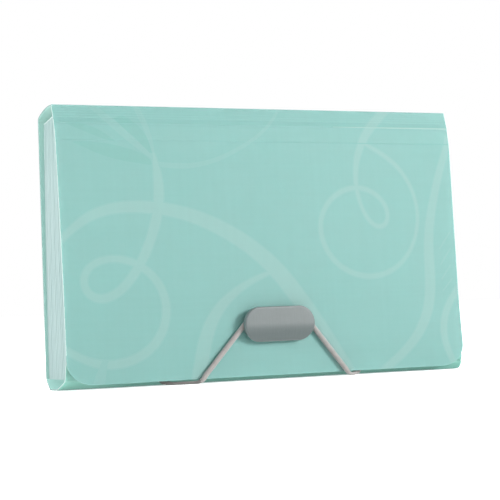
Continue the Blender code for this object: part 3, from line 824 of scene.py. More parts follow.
PRINTS = [
    # darker leaf-shaped patches at the upper left, with paler bands across them
    blade([(-122.9, 10.6), (-117.3, 10.2), (-111.2, 11.1), (-103.5, 13.9),
           (-96.9, 18.0), (-93.6, 20.6), (-100.6, 19.4), (-107.4, 16.8),
           (-114.2, 14.2)]),
    blade([(-93.0, 7.4), (-87.3, 5.8), (-82.4, 8.6), (-77.5, 13.1),
           (-73.6, 19.4), (-71.4, 27.3), (-76.1, 23.7), (-81.6, 18.3),
           (-87.4, 13.3)]),
    blade([(-119.7, 21.2), (-113.0, 20.8), (-104.3, 21.4), (-93.7, 22.9),
           (-82.2, 25.8), (-74.6, 29.4), (-71.7, 33.3), (-81.7, 32.6),
           (-93.2, 30.7), (-104.6, 27.5), (-113.2, 23.9)]),
    band([(-107.0, -1.0, 3.0), (-101.0, 4.0, 4.4), (-92.0, 12.5, 5.0),
          (-83.0, 20.5, 4.0), (-75.0, 27.0, 2.6), (-71.0, 30.0, 1.6)], 2, 0),
    band([(-79.0, -1.0, 3.4), (-75.5, 8.0, 4.4), (-72.3, 17.0, 3.2),
          (-70.6, 27.0, 1.6)], 2, 0),
    # thin line from the ridge to the top of the left loop
    band([(14.5, -2.0, 1.7), (11.6, 2.4, 1.7), (3.1, 12.0, 2.0),
          (-6.5, 18.9, 2.2), (-15.9, 23.9, 2.3), (-25.8, 28.7, 2.6),
          (-37.4, 32.5, 2.7), (-48.8, 34.5, 3.0), (-61.7, 34.3, 3.2),
          (-69.5, 33.0, 2.6)], 2, 0),
    # left loop
    band([(-70.6, 27.6, 2.0), (-69.8, 31.6, 3.6), (-69.0, 36.0, 5.2),
          (-68.5, 41.0, 6.4), (-68.3, 47.3, 6.8),
          (-68.8, 55.6, 6.6), (-71.2, 65.5, 6.4), (-75.1, 75.4, 6.2),
          (-79.7, 85.2, 6.0), (-85.2, 93.3, 5.8), (-91.9, 101.3, 5.6),
          (-99.3, 106.8, 5.4), (-107.4, 109.3, 4.9), (-114.3, 107.2, 5.0),
          (-118.3, 101.4, 5.0), (-117.9, 94.2, 4.7), (-113.3, 88.6, 4.3),
          (-105.2, 85.6, 4.1), (-95.4, 85.2, 4.1), (-86.6, 87.5, 4.4),
          (-78.8, 91.8, 4.8), (-71.9, 98.6, 5.1), (-67.9, 106.9, 5.4),
          (-67.0, 116.8, 5.5), (-69.9, 126.6, 5.5), (-75.9, 134.6, 5.6),
          (-84.3, 140.4, 5.5), (-93.4, 143.2, 5.3), (-104.1, 144.3, 5.0),
          (-114.5, 142.6, 4.6), (-122.1, 139.0, 4.3), (-127.9, 135.6, 4.1),
          (-133.0, 132.5, 4.0)]),
    band([(-106.5, 142.0, 3.5), (-108.3, 146.3, 5.6), (-109.6, 150.2, 7.0),
          (-111.6, 157.1, 7.4)], 2, 0),
    # large arc across the flap
    band([(-133.0, 78.5, 3.6), (-127.2, 73.4, 4.1), (-117.2, 65.1, 5.3),
          (-106.4, 59.9, 5.9), (-93.8, 57.2, 6.5), (-81.3, 57.0, 6.9),
          (-66.8, 58.2, 7.4), (-52.2, 61.2, 7.9), (-37.6, 66.4, 8.5),
          (-25.4, 72.4, 9.0), (-14.4, 78.9, 9.4), (-3.6, 87.2, 10.0),
          (5.2, 95.6, 10.6), (12.6, 104.4, 10.9), (20.9, 115.4, 10.5),
          (31.6, 129.8, 9.8), (40.5, 143.7, 9.4), (46.4, 152.7, 9.1),
          (50.5, 159.0, 9.0)]),
    # branch under the arc
    band([(3.0, 94.4, 2.4), (-3.5, 96.2, 3.2), (-10.5, 98.8, 3.6),
          (-19.1, 102.9, 4.2), (-29.0, 109.2, 5.6), (-37.0, 117.2, 7.0),
          (-42.3, 126.0, 8.2), (-45.7, 135.8, 9.0), (-48.2, 147.3, 9.2),
          (-50.1, 153.8, 9.0), (-51.0, 159.0, 9.0)]),
    # right drop-shaped loop
    band([(88.5, -3.0, 5.4), (83.8, 1.8, 5.8), (73.9, 9.6, 6.0),
          (66.5, 18.6, 5.6), (62.8, 26.5, 4.7), (60.8, 35.2, 3.8),
          (60.4, 45.6, 3.1), (62.6, 56.9, 2.8), (67.0, 66.2, 2.8),
          (74.0, 72.2, 2.9), (80.3, 71.3, 3.1), (83.6, 65.7, 3.2),
          (82.6, 59.2, 3.2), (78.0, 52.8, 3.1), (70.4, 47.6, 3.2),
          (60.4, 45.6, 3.4), (50.2, 48.2, 3.5), (41.2, 54.0, 3.5),
          (35.4, 61.9, 3.3), (33.5, 71.0, 3.3), (36.0, 81.0, 3.3),
          (42.2, 90.0, 3.4), (51.8, 96.6, 3.4), (64.4, 99.8, 3.4),
          (76.9, 98.7, 3.3), (87.5, 93.7, 3.1), (95.3, 86.5, 2.8),
          (100.4, 77.6, 2.5), (103.2, 67.7, 2.5), (103.0, 57.1, 2.7),
          (99.8, 46.5, 2.8), (93.9, 37.2, 2.9), (86.1, 29.8, 3.2),
          (77.2, 24.6, 3.2), (68.3, 20.4, 2.4)]),
    # right ribbon
    band([(131.5, 10.0, 3.6), (126.1, 23.3, 4.6), (120.3, 37.6, 5.2),
          (115.4, 52.4, 5.8), (111.4, 67.0, 6.3), (109.2, 82.0, 6.8),
          (109.3, 97.0, 7.4), (108.8, 110.5, 7.6), (105.0, 123.6, 7.0),
          (97.0, 135.9, 6.2), (86.2, 145.6, 5.4), (76.0, 152.5, 5.0),
          (66.5, 158.5, 5.0)]),
    # painted highlight along the bead of line 1, widening towards the right, where the light falls
    band([(48.0, 10.35, 0.3), (70.0, 10.35, 0.5), (95.0, 10.35, 0.75),
          (132.0, 10.35, 0.8)], 4, 0),
    # painted shade along the groove of line 2, over the right half
    band([(0.0, 20.2, 0.3), (40.0, 20.2, 0.4), (80.0, 20.2, 0.5),
          (132.0, 20.2, 0.5)], 3, 0),
    # arc and small leaf strokes at the right edge
    band([(132.0, 104.5, 4.0), (125.2, 111.8, 4.6), (119.1, 119.8, 5.0),
          (115.6, 129.2, 5.1), (115.6, 140.0, 4.8), (120.0, 150.4, 4.2),
          (124.5, 158.5, 4.0)]),
    band([(117.1, 84.1, 0.9), (120.7, 79.1, 2.7), (125.2, 74.1, 0.9)], 2, 0),
    band([(117.3, 93.6, 0.9), (120.8, 88.5, 2.7), (125.3, 83.5, 0.9)], 2, 0),
    band([(117.4, 102.4, 0.9), (120.5, 98.1, 2.7), (124.5, 93.8, 0.9)], 2, 0),
    band([(117.7, 109.5, 0.9), (121.0, 105.7, 2.5), (125.1, 101.9, 0.9)], 2, 0),
]


def flap_bow(x, s):
    """Slight outward belly of the flap's left side and a soft unevenness."""
    u = np.clip((s - S_L2) / (S_END - S_L2), 0, 1)
    left = np.clip((-x - 10.0) / 119.0, 0, 1) ** 2
    soft = 0.10 * np.sin(0.031 * x + 1.1) * np.sin(math.pi * u) \
        + 0.06 * np.sin(0.09 * x + 3.0 * u)
    ease = np.clip(u * 6, 0, 1)
    return (0.95 * left * np.sin(math.pi * u) + 0.6 * soft) * ease


def lid_bow(x, s):
    return 0.0 * x


cover_mats = [COVER, PRINT, PRINT_SOFT, DARK_TONE_AND_SHADE, BEAD_HIGHLIGHT, INNER, EDGE]


def front_outline(d):
    """A little narrower than the flap that covers it, full width at the crease."""
    def half_at(s, above):
        t = min(max((s - (S_C1 - above)) / 14.0, 0.0), 1.0)
        return HALF - 1.25 * (1 - t * t * (3 - 2 * t)) - d

    def side(sign, above):
        w, r = half_at(0.0, above), 5.0 - d
        turn = [-math.pi / 2 + math.pi / 2 * i / 12 for i in range(13)]
        line = [(w - r + r * math.cos(g), d + r + r * math.sin(g)) for g in turn]
        line += [(half_at(s, above), s)
                 for s in (S_C1 - above + 1.4 * i for i in range(11)) if s < SEAM_1]
        return [(sign * x, s) for x, s in line + [(HALF - d, SEAM_1)]]

    return side(-1, 15.5)[::-1] + side(1, 27.0)


def repaint(ob, old, new, test):
    """Give faces of one material another one, where their middle passes."""
    me = ob.data
    me.materials.append(new)
    was = list(me.materials).index(old)
    for q in me.polygons:
        if q.material_index == was and test(q.center):
            q.material_index = len(me.materials) - 1


def flare(ob):
    """The sheets' right lower corner stands a little forward."""
    for v in ob.data.vertices:
        x, y, z = (c / MM for c in v.co)
        a, b, c = (min(max(t, 0.0), 1.0)
                   for t in ((x - 70.0) / 59.0, (46.0 - z) / 42.0, (4.0 - y) / 14.0))
        v.co.y -= 1.6 * a * a * (3 - 2 * a) * b * b * (3 - 2 * b) * c * MM


FOOT_LINES = spread(S_C1 - 3.45, S_C1 + 3.45, 0.30)
front = build_sheet(
    "cover_front", COVER_PATH, 0.0, SEAM_1, mats=[COVER_LOW, INNER, EDGE],
    lines=FOOT_LINES,
    cell=12.0, outline=front_outline, dip=dip, seams=(False, True))
# painted shade: the cut edge takes the darker copy at the right end
repaint(front, EDGE, EDGE_SHADED, lambda c: c.x > 0.12)
flare(front)
at(S_C1 + 0.28)
at(S_C1 - 0.95)
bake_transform(front)
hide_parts("front_panel")

def fill_foot(ob):
    """The bottom's front edge: fuller at the right end, drawn in at the left."""
    for v in ob.data.vertices:
        x, y, z = (c / MM for c in v.co)
        reach, t = (6.2, (x - 84.0) / 42.0) if x > 0 else (-3.6, (-x - 88.0) / 38.0)
        t = min(max(t, 0.0), 1.0)
        if t <= 0 or y > FLAT_BACK or z > Z_FRONT_BOTTOM:
            continue
        w = t * t * (3 - 2 * t)
        low = 1 - min(max(z, 0.0) / Z_FRONT_BOTTOM, 1.0)
        back = 1 - min(max((y - FLAT_FRONT) / (FLAT_BACK - FLAT_FRONT), 0.0), 1.0)
        v.co.y -= reach * w * low * back * MM


down = np.array((FLAT_FRONT - Y_CREASE, -Z_FRONT_BOTTOM))
down /= np.linalg.norm(down)
hole = np.array((Y_CREASE, Z_FRONT_BOTTOM)) + down * HOLE_ALONG
S_HOLE = COVER_PATH.nearest(*hole)


def around(s, half_angle, r):
    h = half_angle * r
    return [s - h, s - h * 0.6, s - h * 0.3, s, s + h * 0.3, s + h * 0.6, s + h]


body = build_sheet(
    "cover_body", COVER_PATH, SEAM_1, SEAM_3, mats=[COVER_LOW, COVER, INNER_FOOT, INNER_BACK, EDGE],
    lit=(S_C2, 2), beyond=S_F1,
    lines=[s for s in FOOT_LINES if s > SEAM_1 + 0.1]
    + around(S_F1, math.radians(15.1), 12.0)
    + around(S_F2, math.radians(22.6), 2.5)
    + around(S_C2, math.radians(22.3), BACK_CREASE_R)
    + [S_C2 + d for d in (-0.35, -0.12, 0.12, 0.35)],
    cell=12.0, dip=dip, seams=(True, True),
    holes=[(sx * HOLE_X[sx], S_HOLE, CORD_HOLE_R) for sx in (-1, 1)])
# painted shade: the cut edge takes the darker copy at the back and at the right end
repaint(body, EDGE, EDGE_SHADED, lambda c: c.y > -0.001 or c.x > 0.12)
flare(body)
fill_foot(body)
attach(body, "root")
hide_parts("back_panel", "bottom_panel")

# the top's cut edges all take the darker painted-shade copy; its inside has a painted glow
lid = build_sheet(
    "cover_top", COVER_PATH, SEAM_3, SEAM_R, mats=[COVER, INNER_LID, EDGE_SHADED],
    lines=[S_C3 + half_c3 * d for d in (-1, -0.85, -0.7, -0.5, -0.3, -0.15, 0,
                                        0.15, 0.3, 0.5, 0.7, 0.85, 1)]
    + spread(S_C3 + half_c3, SEAM_R, 1.5), cell=12.0, dip=dip,
    seams=(True, True))
at(S_C3 - 1.3)
at(S_C3 + 1.3)
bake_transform(lid)
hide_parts("top_panel")

flap_lines = RIDGE_LINES + bead_lines(S_L1 - 0.2, 0.42) + bead_lines(S_L1 + 0.5, 0.28) \
    + bead_lines(S_L2, 0.45) + [x for f in FINE for x in (f - 0.30, f, f + 0.30)]
S_BUTTON = COVER_PATH.nearest(y_flap(Z_BUTTON), Z_BUTTON)
flap = build_sheet(
    "flap_cover", COVER_PATH, SEAM_R, S_END, mats=cover_mats, lines=flap_lines,
    cell=6.0, outline=rounded_box(SEAM_R, S_END, 0.0, CORNER_R,
                                  seams=(True, False), wide=1.2),
    holes=[(BUTTON_X, S_BUTTON, 2.8)], print_=PRINTS, dip=dip, thick=thick,
    bow=flap_bow, seams=(True, False))
# painted shade: the flap's cut edge takes the darker copy low down and at the right end
repaint(flap, EDGE, EDGE_SHADED, lambda c: c.z < 0.019 or c.x > 0.12)
flare(flap)
at(S_RIDGE - 0.55)
at(S_RIDGE + 0.55)
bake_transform(flap)
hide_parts("hinge_strip_upper", "hinge_strip_lower", "flap_panel")


# -------------------------------------------------------------------- bellows
FILM_T = 0.12
OUT_X, IN_X, FILM_LOW = 127.45, 111.3, 5.9


def wobble(k, z, side):
    """Small unevenness of a fold, different for each pleat."""
    a = 1.7 * k + (0.9 if side > 0 else 0.0)
    return 0.09 * math.sin(0.045 * z + a) + 0.04 * math.sin(0.13 * z + 2.3 * a)


def back_wall(z):
    """Inner face of the back panel, where it turns into the bottom."""
    r, t = BACK_CREASE_R, BACK_CREASE_R * math.tan(math.radians(22.3))
    low = max(Z_BACK_BOTTOM + t - z, 0.0)
    return Y_BACK - r + math.sqrt((r - SHEET) ** 2 - min(low, r - 1.0) ** 2)


def front_wall(z):
    """Inner face of the front panel, where it turns into the bottom."""
    p, n = COVER_PATH.at(np.linspace(S_C1 + 3.4, S_C1 - 12.0, 400))
    q = p - n * SHEET
    return float(np.interp(z, q[:, 1], q[:, 0]))


def film_profile(k, z, side):
    """Outer and inner line of pocket k's film, in (x, y), at height z."""
    a, b = pocket(k, z)
    if k == POCKETS:
        b = min(b, back_wall(z))
    if k == 1 and z < 12.0:
        a = min(max(a, front_wall(z)), b - 1.15)
    ya = a - DIVIDER_T / 2 if k > 1 else a + 0.02
    yb = b + DIVIDER_T / 2 if k < POCKETS else b - 0.02
    m = (a + b) / 2 + 0.10 * math.sin(0.06 * z + 1.3 * k)
    draw = 1.5 * (z / 148.0) ** 2 / POCKETS
    xa = OUT_X - draw * (k - 1) + wobble(k - 1, z, side) * (k > 1)
    xb = OUT_X - draw * k + wobble(k, z, side) * (k < POCKETS)
    xi = IN_X + 0.5 * wobble(k + 20, z, side)
    line = []
    if k == 1:
        line += [(119.0, a + 0.17), (122.5, a + 0.17), (xa - 0.55, a + 0.17),
                 (xa - 0.18, a + 0.22), (xa, a + 0.40), (xa - 0.12, a + 0.60)]
        ya = a + 0.42
    else:
        line += [(xa, ya), (xa - 0.05, ya + 0.14), (xa - 0.16, ya + 0.26),
                 (xa - 0.38, ya + 0.36)]
    steps = 5
    for i in range(1, steps + 1):
        u = i / steps
        x = (xa - 0.6) + (xi + 0.7 - xa + 0.6) * u
        y = (ya + 0.42) + (m - 0.16 - ya - 0.42) * u
        line.append((x, y - 0.10 * math.sin(math.pi * u)))
    line += [(xi + 0.25, m - 0.12), (xi, m), (xi + 0.25, m + 0.12)]
    ye = b - 0.42 if k == POCKETS else yb
    for i in range(steps, 0, -1):
        u = i / steps
        x = (xb - 0.6) + (xi + 0.7 - xb + 0.6) * u
        y = (ye - 0.42) + (m + 0.16 - ye + 0.42) * u
        line.append((x, y + 0.10 * math.sin(math.pi * u)))
    if k == POCKETS:
        line += [(xb - 0.12, b - 0.60), (xb, b - 0.40), (xb - 0.18, b - 0.22),
                 (xb - 0.55, b - 0.17), (122.5, b - 0.17), (119.0, b - 0.17)]
    else:
        line += [(xb - 0.38, yb - 0.36), (xb - 0.16, yb - 0.26),
                 (xb - 0.05, yb - 0.14), (xb, yb)]
    line = np.array(line)
    d = np.gradient(line, axis=0)
    d /= np.linalg.norm(d, axis=1, keepdims=True)
    if k > 1:
        d[0] = (0.0, 1.0)
    if k < POCKETS:
        d[-1] = (0.0, 1.0)
    # from the front wall round the inner fold, the pocket lies to the left
    n = np.stack([-d[:, 1], d[:, 0]], -1)
    return line, line + n * FILM_T


def film_top(y):
    return 147.3 + 3.5 * (17.3 - y) / 19.8


def make_film(k, side):
    zs = [FILM_LOW, FILM_LOW + 0.2, 7.4, 8.9] \
        + list(np.linspace(11.5, 142.0, 20)) + [None, None]
    rings = []
    for i, z in enumerate(zs):
        if z is None:
            line, inner = film_profile(k, 148.5, side)
            back = 0.5 if i == len(zs) - 2 else 0.0
            zo = [film_top(y) - back for _, y in line]
            zi = [film_top(y) - back for _, y in inner]
        else:
            line, inner = film_profile(k, z, side)
            zo, zi = [z] * len(line), [z] * len(inner)
        rings.append(([(side * x, y, h) for (x, y), h in zip(line, zo)],
                      [(side * x, y, h) for (x, y), h in zip(inner, zi)]))
    n = len(rings[0][0])
    verts, uv, faces = [], [], []
    run = np.concatenate(([0.0], np.cumsum(np.linalg.norm(np.diff(
        np.array(rings[0][0])[:, :2], axis=0), axis=1))))
    for outer, inner in rings:
        for j, p in enumerate(outer):
            verts.append(p)
            uv.append((run[j] / 100 + 0.37 * k, p[2] / 100))
        for j, p in enumerate(inner):
            verts.append(p)
            uv.append((run[j] / 100 + 0.37 * k + 0.2, p[2] / 100))
    m = 2 * n
    for r in range(len(rings) - 1):
        a, b = r * m, (r + 1) * m
        for j in range(n - 1):
            faces.append((a + j, a + j + 1, b + j + 1, b + j))
            faces.append((a + n + j, b + n + j, b + n + j + 1, a + n + j + 1))
        faces.append((a, b, b + n, a + n))
        faces.append((a + n - 1, a + m - 1, b + m - 1, b + n - 1))
    for j in range(n - 1):
        faces.append((j, n + j, n + j + 1, j + 1))
        e = (len(rings) - 1) * m
        faces.append((e + j, e + j + 1, e + n + j + 1, e + n + j))
    if side > 0:
        faces = [f[::-1] for f in faces]
    # outward is away from the film's own middle
    word = "left" if side < 0 else "right"
    last = len(rings) - 1
    # the top rings take the rim material: paler, with a painted glow
    slots = [1 if min(f) >= (last - 1) * m else 0 for f in faces]
    ob = make_object("bellows_%s_%02d" % (word, k), verts, faces,
                     [FILM if side < 0 else FILM_RIGHT_SHADED, FILM_RIM_GLOW], slots, uv, 42.0)
    bm = bmesh.new()
    bm.from_mesh(ob.data)
    bmesh.ops.recalc_face_normals(bm, faces=bm.faces)
    bm.to_mesh(ob.data)
    bm.free()
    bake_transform(ob)
    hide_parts("gusset_%s_%02d" % (word, k))
    return ob


for k in range(1, POCKETS + 1):
    for side in (-1, 1):
        make_film(k, side)


# ------------------------------------------------------------------- dividers
def make_divider(k):
    y0 = pocket(k, Z_DIVIDER)[1] + DIVIDER_T / 2
    y1 = pocket(k, Z_DIVIDER_TOP)[1] + DIVIDER_T / 2
    lean = (y1 - y0) / (Z_DIVIDER_TOP - Z_DIVIDER)
    path = Path([(y0, Z_DIVIDER),
                 (y0 + lean * (TAB_TOP - Z_DIVIDER), TAB_TOP)], [0, 0])
    height = path.length * (Z_DIVIDER_TOP - Z_DIVIDER) / (TAB_TOP - Z_DIVIDER)
    xc = -88.0 + 16.0 * (k - 1)

    def outline(d):
        out = []
        w, top, tab = 126.0 - d, height - d, path.length - d

        def turn(cx, cs, r, a0, a1, n=6):
            for i in range(n + 1):
                g = math.radians(a0 + (a1 - a0) * i / n)
                out.append((cx + r * math.cos(g), cs + r * math.sin(g)))
        out.extend([(-w, 3.2), (-w + 3.2, d), (w - 3.2, d), (w, 3.2)])
        turn(w - 2.0, top - 2.0, 2.0, 0, 90)
        out.append((xc + 8.3 - d, top))
        turn(xc + 5.9 - d, tab - 1.4, 1.4, 15, 90)
        turn(xc - 5.9 + d, tab - 1.4, 1.4, 90, 165)
        out.append((xc - 8.3 + d, top))
        turn(-w + 2.0, top - 2.0, 2.0, 90, 180)
        return out

    def bow(x, s):
        flat = 1 - np.clip(np.abs(x) / 118.0, 0, 1) ** 4
        return 0.16 * flat * np.sin(0.021 * x + 1.9 * k) * np.sin(0.02 * s + k)

    def thin(s):
        return np.full(len(s), DIVIDER_T / 2)

    def rise(s):
        return np.full(len(s), -DIVIDER_T / 2)

    ob = build_sheet("divider_leaf_%02d" % k, path, 0.0, path.length,
                     mats=[LEAF, LEAF, LEAF], half=126.0, cell=14.0,
                     outline=outline, dip=rise, thick=thin, bow=bow,
                     chamfer=0.06,
                     lines=[height - 9.0, height - 8.6])
    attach(ob, "divider_body_%02d" % k)
    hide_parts("divider_%02d" % k)


for k in range(1, POCKETS):
    make_divider(k)


# --------------------------------------------------------------------- button
def local(x, out, z):
    """A point on the flap: x across, out of the face, z up the face."""
    c, s = math.cos(BETA), math.sin(BETA)
    return (CAP_X + x, y_flap(Z_BUTTON) - out * c + z * s,
            CAP_Z + out * s + z * c)


def stadium(straight, r, n=20):
    pts = []
    for sx in (1, -1):
        for i in range(n + 1):
            a = -math.pi / 2 + math.pi * i / n
            pts.append((sx * (straight + r * math.cos(a)), sx * r * math.sin(a)))
        for j in range(1, 9):
            pts.append((sx * straight * (1 - j / 4.5), sx * r))
    return pts


def loft(name, rings, mat, angle=40.0):
    n = len(rings[0])
    verts = [p for ring in rings for p in ring]
    faces = []
    for r in range(len(rings) - 1):
        for i in range(n):
            j = (i + 1) % n
            faces.append((r * n + i, r * n + j, (r + 1) * n + j, (r + 1) * n + i))
    faces.append(tuple(range(n)))
    last = (len(rings) - 1) * n
    faces.append(tuple(range(last + n - 1, last - 1, -1)))
    ob = make_object(name, verts, faces, [mat], None, None, angle)
    bm = bmesh.new()
    bm.from_mesh(ob.data)
    bmesh.ops.recalc_face_normals(bm, faces=bm.faces)
    bm.to_mesh(ob.data)
    bm.free()
    return ob


CAP_R, CAP_STRAIGHT = 9.9, 12.8
CAP_X, CAP_Z = BUTTON_X - 0.85, Z_BUTTON - 0.6
CAP_BACK, CAP_FRONT = 3.5, 6.572


def integral_of_step(q, a, b):
    """Area under a smooth step from 0 (at a) to 1 (at b), up to q."""
    if q <= a:
        return 0.0
    w = b - a
    u = min((q - a) / w, 1.0)
    return w * (u ** 3 - u ** 4 / 2) + max(q - b, 0.0)


def face(r, z):
    """Height of the cap's face: a soft fold below the middle, a soft rim."""
    fold = 0.42 * integral_of_step(-z, -0.5, 6.5)
    rim = 0.004 * r + 0.10 * integral_of_step(r, 8.4, 9.8)
    return CAP_FRONT - fold - rim


def cap_ring(r, drop=0.0, rise=None):
    """A ring of the cap; drop is from the face, rise is from the back."""
    pts = []
    for x, z in stadium(CAP_STRAIGHT, r):
        k = 9.35 / r if r > 9.35 else 1.0
        out = face(min(r, 9.35), z * k)
        thin = min(1.0, (out - CAP_BACK) / 2.4)
        out = CAP_BACK + rise * thin if rise is not None else out - drop * thin
        pts.append(local(x, out, z))
    return pts


rings = [cap_ring(7.4, rise=0.0), cap_ring(8.8, rise=0.0),
         cap_ring(9.50, rise=0.04), cap_ring(9.80, rise=0.16),
         cap_ring(9.9, rise=0.36), cap_ring(9.9, 0.52), cap_ring(9.86, 0.34),
         cap_ring(9.74, 0.17), cap_ring(9.56, 0.06)]
rings += [cap_ring(r) for r in (9.35, 9.0, 8.5, 7.9, 7.2, 6.5, 5.8, 5.1, 4.4,
                                3.8, 3.2, 2.6, 2.0, 1.4, 0.8, 0.3)]
cap = loft("button_cap_shell", rings, BUTTON, 50.0)
# painted light: faces that do not face forwards, the side wall, take the lighter copy
cap.data.materials.append(BUTTON_WALL_LIT)
for q in cap.data.polygons:
    if abs(q.normal.y) < 0.8:
        q.material_index = 1
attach(cap, "flap")
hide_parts("button_cap")

for n in ("button_post", "button_washer"):
    NODES[n].data.materials.clear()
    NODES[n].data.materials.append(BUTTON)
for n in ("elastic_end_left", "elastic_end_right"):
    NODES[n].data.materials.clear()
    NODES[n].data.materials.append(CRIMP)


# -------------------------------------------------------------- elastic cord
def cord_route():
    """Hole to hole: under the edge, up the flap and over the post."""
    inward = np.array((-down[1], down[0]))
    start = hole + inward * SHEET
    wrap = POST_R + 0.3 + CORD_R

    def on(x, z):
        return (x, y_flap(z) - CORD_R - 0.3, z)

    def half(side):
        out, bend = HOLE_X[side], TURN_X[side]
        run = [(out, start[0], start[1]), (out, hole[0], hole[1]),
               (out - 0.5, hole[0] - 0.65, hole[1] - 1.05),
               (out - 2.0, hole[0] - 1.55, 1.80),
               (out - 4.5, hole[0] - 2.5, 1.60),
               ((out + bend) / 2 + 1.0, hole[0] - 3.7, 1.55),
               (bend + 4.8, Y_TURN + 2.2, 1.53),
               (bend + 2.3, Y_TURN + 0.9, 1.78),
               (bend + 0.75, Y_TURN + 0.15, 2.55),
               (bend, Y_TURN, TURN_Z)]
        centre = side * BUTTON_X + POST_STRAIGHT
        reach = math.hypot(bend - centre, Z_BUTTON - TURN_Z)
        climb = (math.atan2(Z_BUTTON - TURN_Z, bend - centre)
                 + math.asin(wrap / reach))
        up = [(bend - 0.62, Y_TURN + 0.03, TURN_Z + 0.8)]
        tx = centre + wrap * math.sin(climb)
        tz = Z_BUTTON + wrap * math.cos(climb)
        for i in range(9):
            u = i / 8
            up.append(on(bend - 1.3 + (tx - bend + 1.3) * u,
                         TURN_Z + 1.6 + (tz - TURN_Z - 1.6) * u))
        for i in range(1, 4):
            a = climb * (1 - i / 3)
            up.append(on(centre + wrap * math.sin(a),
                         Z_BUTTON + wrap * math.cos(a)))
        return [(side * x, y, z) for x, y, z in run + up]

    middle = [on(BUTTON_X + x, Z_BUTTON + wrap) for x in (6.4, 0.0, -6.4)]
    return half(1) + middle + half(-1)[::-1]


def braid(name, points, radius_, mat, carriers=8, pitch=5.2, sides=40, step=0.30):
    """Tube with the over-and-under relief of a round braid."""
    line = smooth_line(points, step)
    d = np.gradient(line, axis=0)
    d /= np.linalg.norm(d, axis=1, keepdims=True)
    length = np.concatenate(([0.0], np.cumsum(
        np.linalg.norm(np.diff(line, axis=0), axis=1))))
    ref = np.array((0.0, -1.0, 0.0))
    frames = []
    for t in d:
        ref = ref - t * (ref @ t)
        ref /= np.linalg.norm(ref)
        frames.append((ref.copy(), np.cross(t, ref)))
    verts, uv = [], []
    ang = np.arange(sides) * 2 * math.pi / sides
    for i, (p, (u, w)) in enumerate(zip(line, frames)):
        s = length[i]
        a = ang / (2 * math.pi) * carriers + s / pitch * carriers / 2
        b = ang / (2 * math.pi) * carriers - s / pitch * carriers / 2
        fa, fb = a - np.floor(a), b - np.floor(b)
        over = (np.floor(a) + np.floor(b)) % 2 == 0
        across = np.where(over, fa, fb)
        along = np.where(over, fb, fa)
        h = np.sqrt(np.clip(1 - (2 * across - 1) ** 2, 0, 1)) \
            * (0.45 + 0.55 * np.sin(math.pi * along))
        r = radius_ * (0.90 + 0.10 * h)
        end = min(i, len(line) - 1 - i)
        if end < 3:
            r = r * (0.70 + 0.10 * end)
        verts.append(p + np.outer(r * np.cos(ang), u) + np.outer(r * np.sin(ang), w))
        uv.append(np.column_stack([np.abs(ang / math.pi - 1) * 0.05,
                                   np.full(sides, s / 100)]))
    n, m = len(line), sides
    faces = []
    for i in range(n - 1):
        for j in range(m):
            k2 = (j + 1) % m
            faces.append((i * m + j, i * m + k2, (i + 1) * m + k2, (i + 1) * m + j))
    faces.append(tuple(range(m - 1, -1, -1)))
    faces.append(tuple(range((n - 1) * m, n * m)))
    ob = make_object(name, np.vstack(verts), faces, [mat], None, np.vstack(uv), 70.0)
    bm = bmesh.new()
    bm.from_mesh(ob.data)
    bmesh.ops.recalc_face_normals(bm, faces=bm.faces)
    bm.to_mesh(ob.data)
    bm.free()
    return ob, float(length[-1])


elastic, ELASTIC_LENGTH = braid("elastic_cord", cord_route(), CORD_R, CORD)


def press(ob):
    """Under the folder the cord is pressed flat, and it lies in its shade."""
    for v in ob.data.vertices:
        x, z = abs(v.co.x / MM), v.co.z / MM
        side = 1 if v.co.x > 0 else -1
        a = min(max((x - TURN_X[side] - 0.3) / 4.0, 0.0), 1.0)
        b = min(max((HOLE_X[side] - 1.5 - x) / 5.0, 0.0), 1.0)
        w = (a * a * (3 - 2 * a)) * (b * b * (3 - 2 * b)) if z < 4.5 else 0.0
        v.co.z -= 0.40 * w * max(z, 0.0) * MM
    ob.data.materials.append(CORD_SHADE)
    for q in ob.data.polygons:
        if q.center.x < -(TURN_X[-1] + 2.6) * MM and q.center.z < 4.5 * MM:
            q.material_index = 1


press(elastic)
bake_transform(elastic)
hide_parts("elastic_run_left", "elastic_run_right", "elastic_loop")


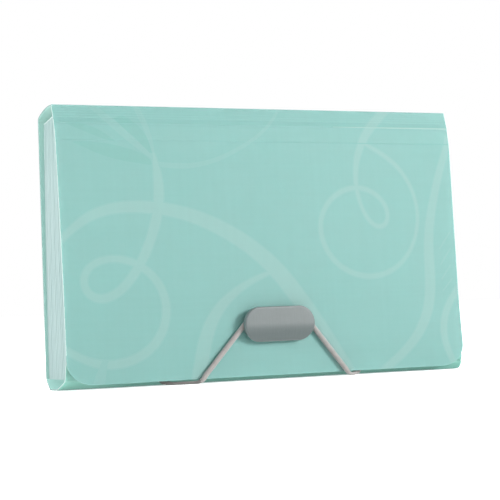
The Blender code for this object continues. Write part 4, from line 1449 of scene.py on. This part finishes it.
# ---------------------------------------------------------------- the studio
def floor_material():
    g = Nodes("studio_floor")
    n = g.noise((6.0, 6.0, 6.0), 1.0, 2.0, 0.5, uv=False)
    g.link(g.ramp(n, [(0.3, (0.94, 0.94, 0.94)), (0.7, (0.96, 0.96, 0.96))]),
           g.bsdf.inputs["Base Color"])
    g.bsdf.inputs["Emission Color"].default_value = (1.0, 1.0, 1.0, 1.0)
    g.bsdf.inputs["Emission Strength"].default_value = 0.40
    g.bsdf.inputs["Roughness"].default_value = 0.9
    g.bsdf.inputs["Specular IOR Level"].default_value = 0.1
    return g.mat


def make_floor():
    r = 14000.0
    ring = [(r * math.cos(2 * math.pi * i / 96), r * math.sin(2 * math.pi * i / 96),
             -0.05) for i in range(96)]
    ob = make_object("floor", ring, [tuple(range(96))], [floor_material()],
                     smooth=False)


def area_light(name, place, target, size, power, colour=(1, 1, 1)):
    lamp = bpy.data.lights.new(name, "AREA")
    lamp.shape = "RECTANGLE"
    lamp.size, lamp.size_y = size
    lamp.energy = power
    lamp.color = colour
    ob = bpy.data.objects.new(name, lamp)
    bpy.context.scene.collection.objects.link(ob)
    ob.location = place
    look = Vector(target) - Vector(place)
    ob.rotation_mode = "QUATERNION"
    ob.rotation_quaternion = look.to_track_quat("-Z", "Y")


make_floor()
world = bpy.data.worlds.new("studio")
bpy.context.scene.world = world
world.use_nodes = True
bg = world.node_tree.nodes["Background"]
bg.inputs["Color"].default_value = (1.0, 1.0, 1.0, 1.0)
bg.inputs["Strength"].default_value = 1.0
bpy.context.scene.view_settings.view_transform = "Standard"
bpy.context.scene.view_settings.look = "None"

area_light("key", (1.95, -2.25, 1.06), (0.0, 0.0, 0.08), (1.1, 0.8), 118.0)
area_light("left_fill", (-1.5, -0.45, 1.0), (0.0, 0.0, 0.08), (0.9, 0.9), 9.0)
area_light("back_fill", (-0.5, 1.6, 0.9), (0.0, 0.0, 0.08), (1.0, 0.8), 16.0)

print("elastic length mm", round(ELASTIC_LENGTH, 1))
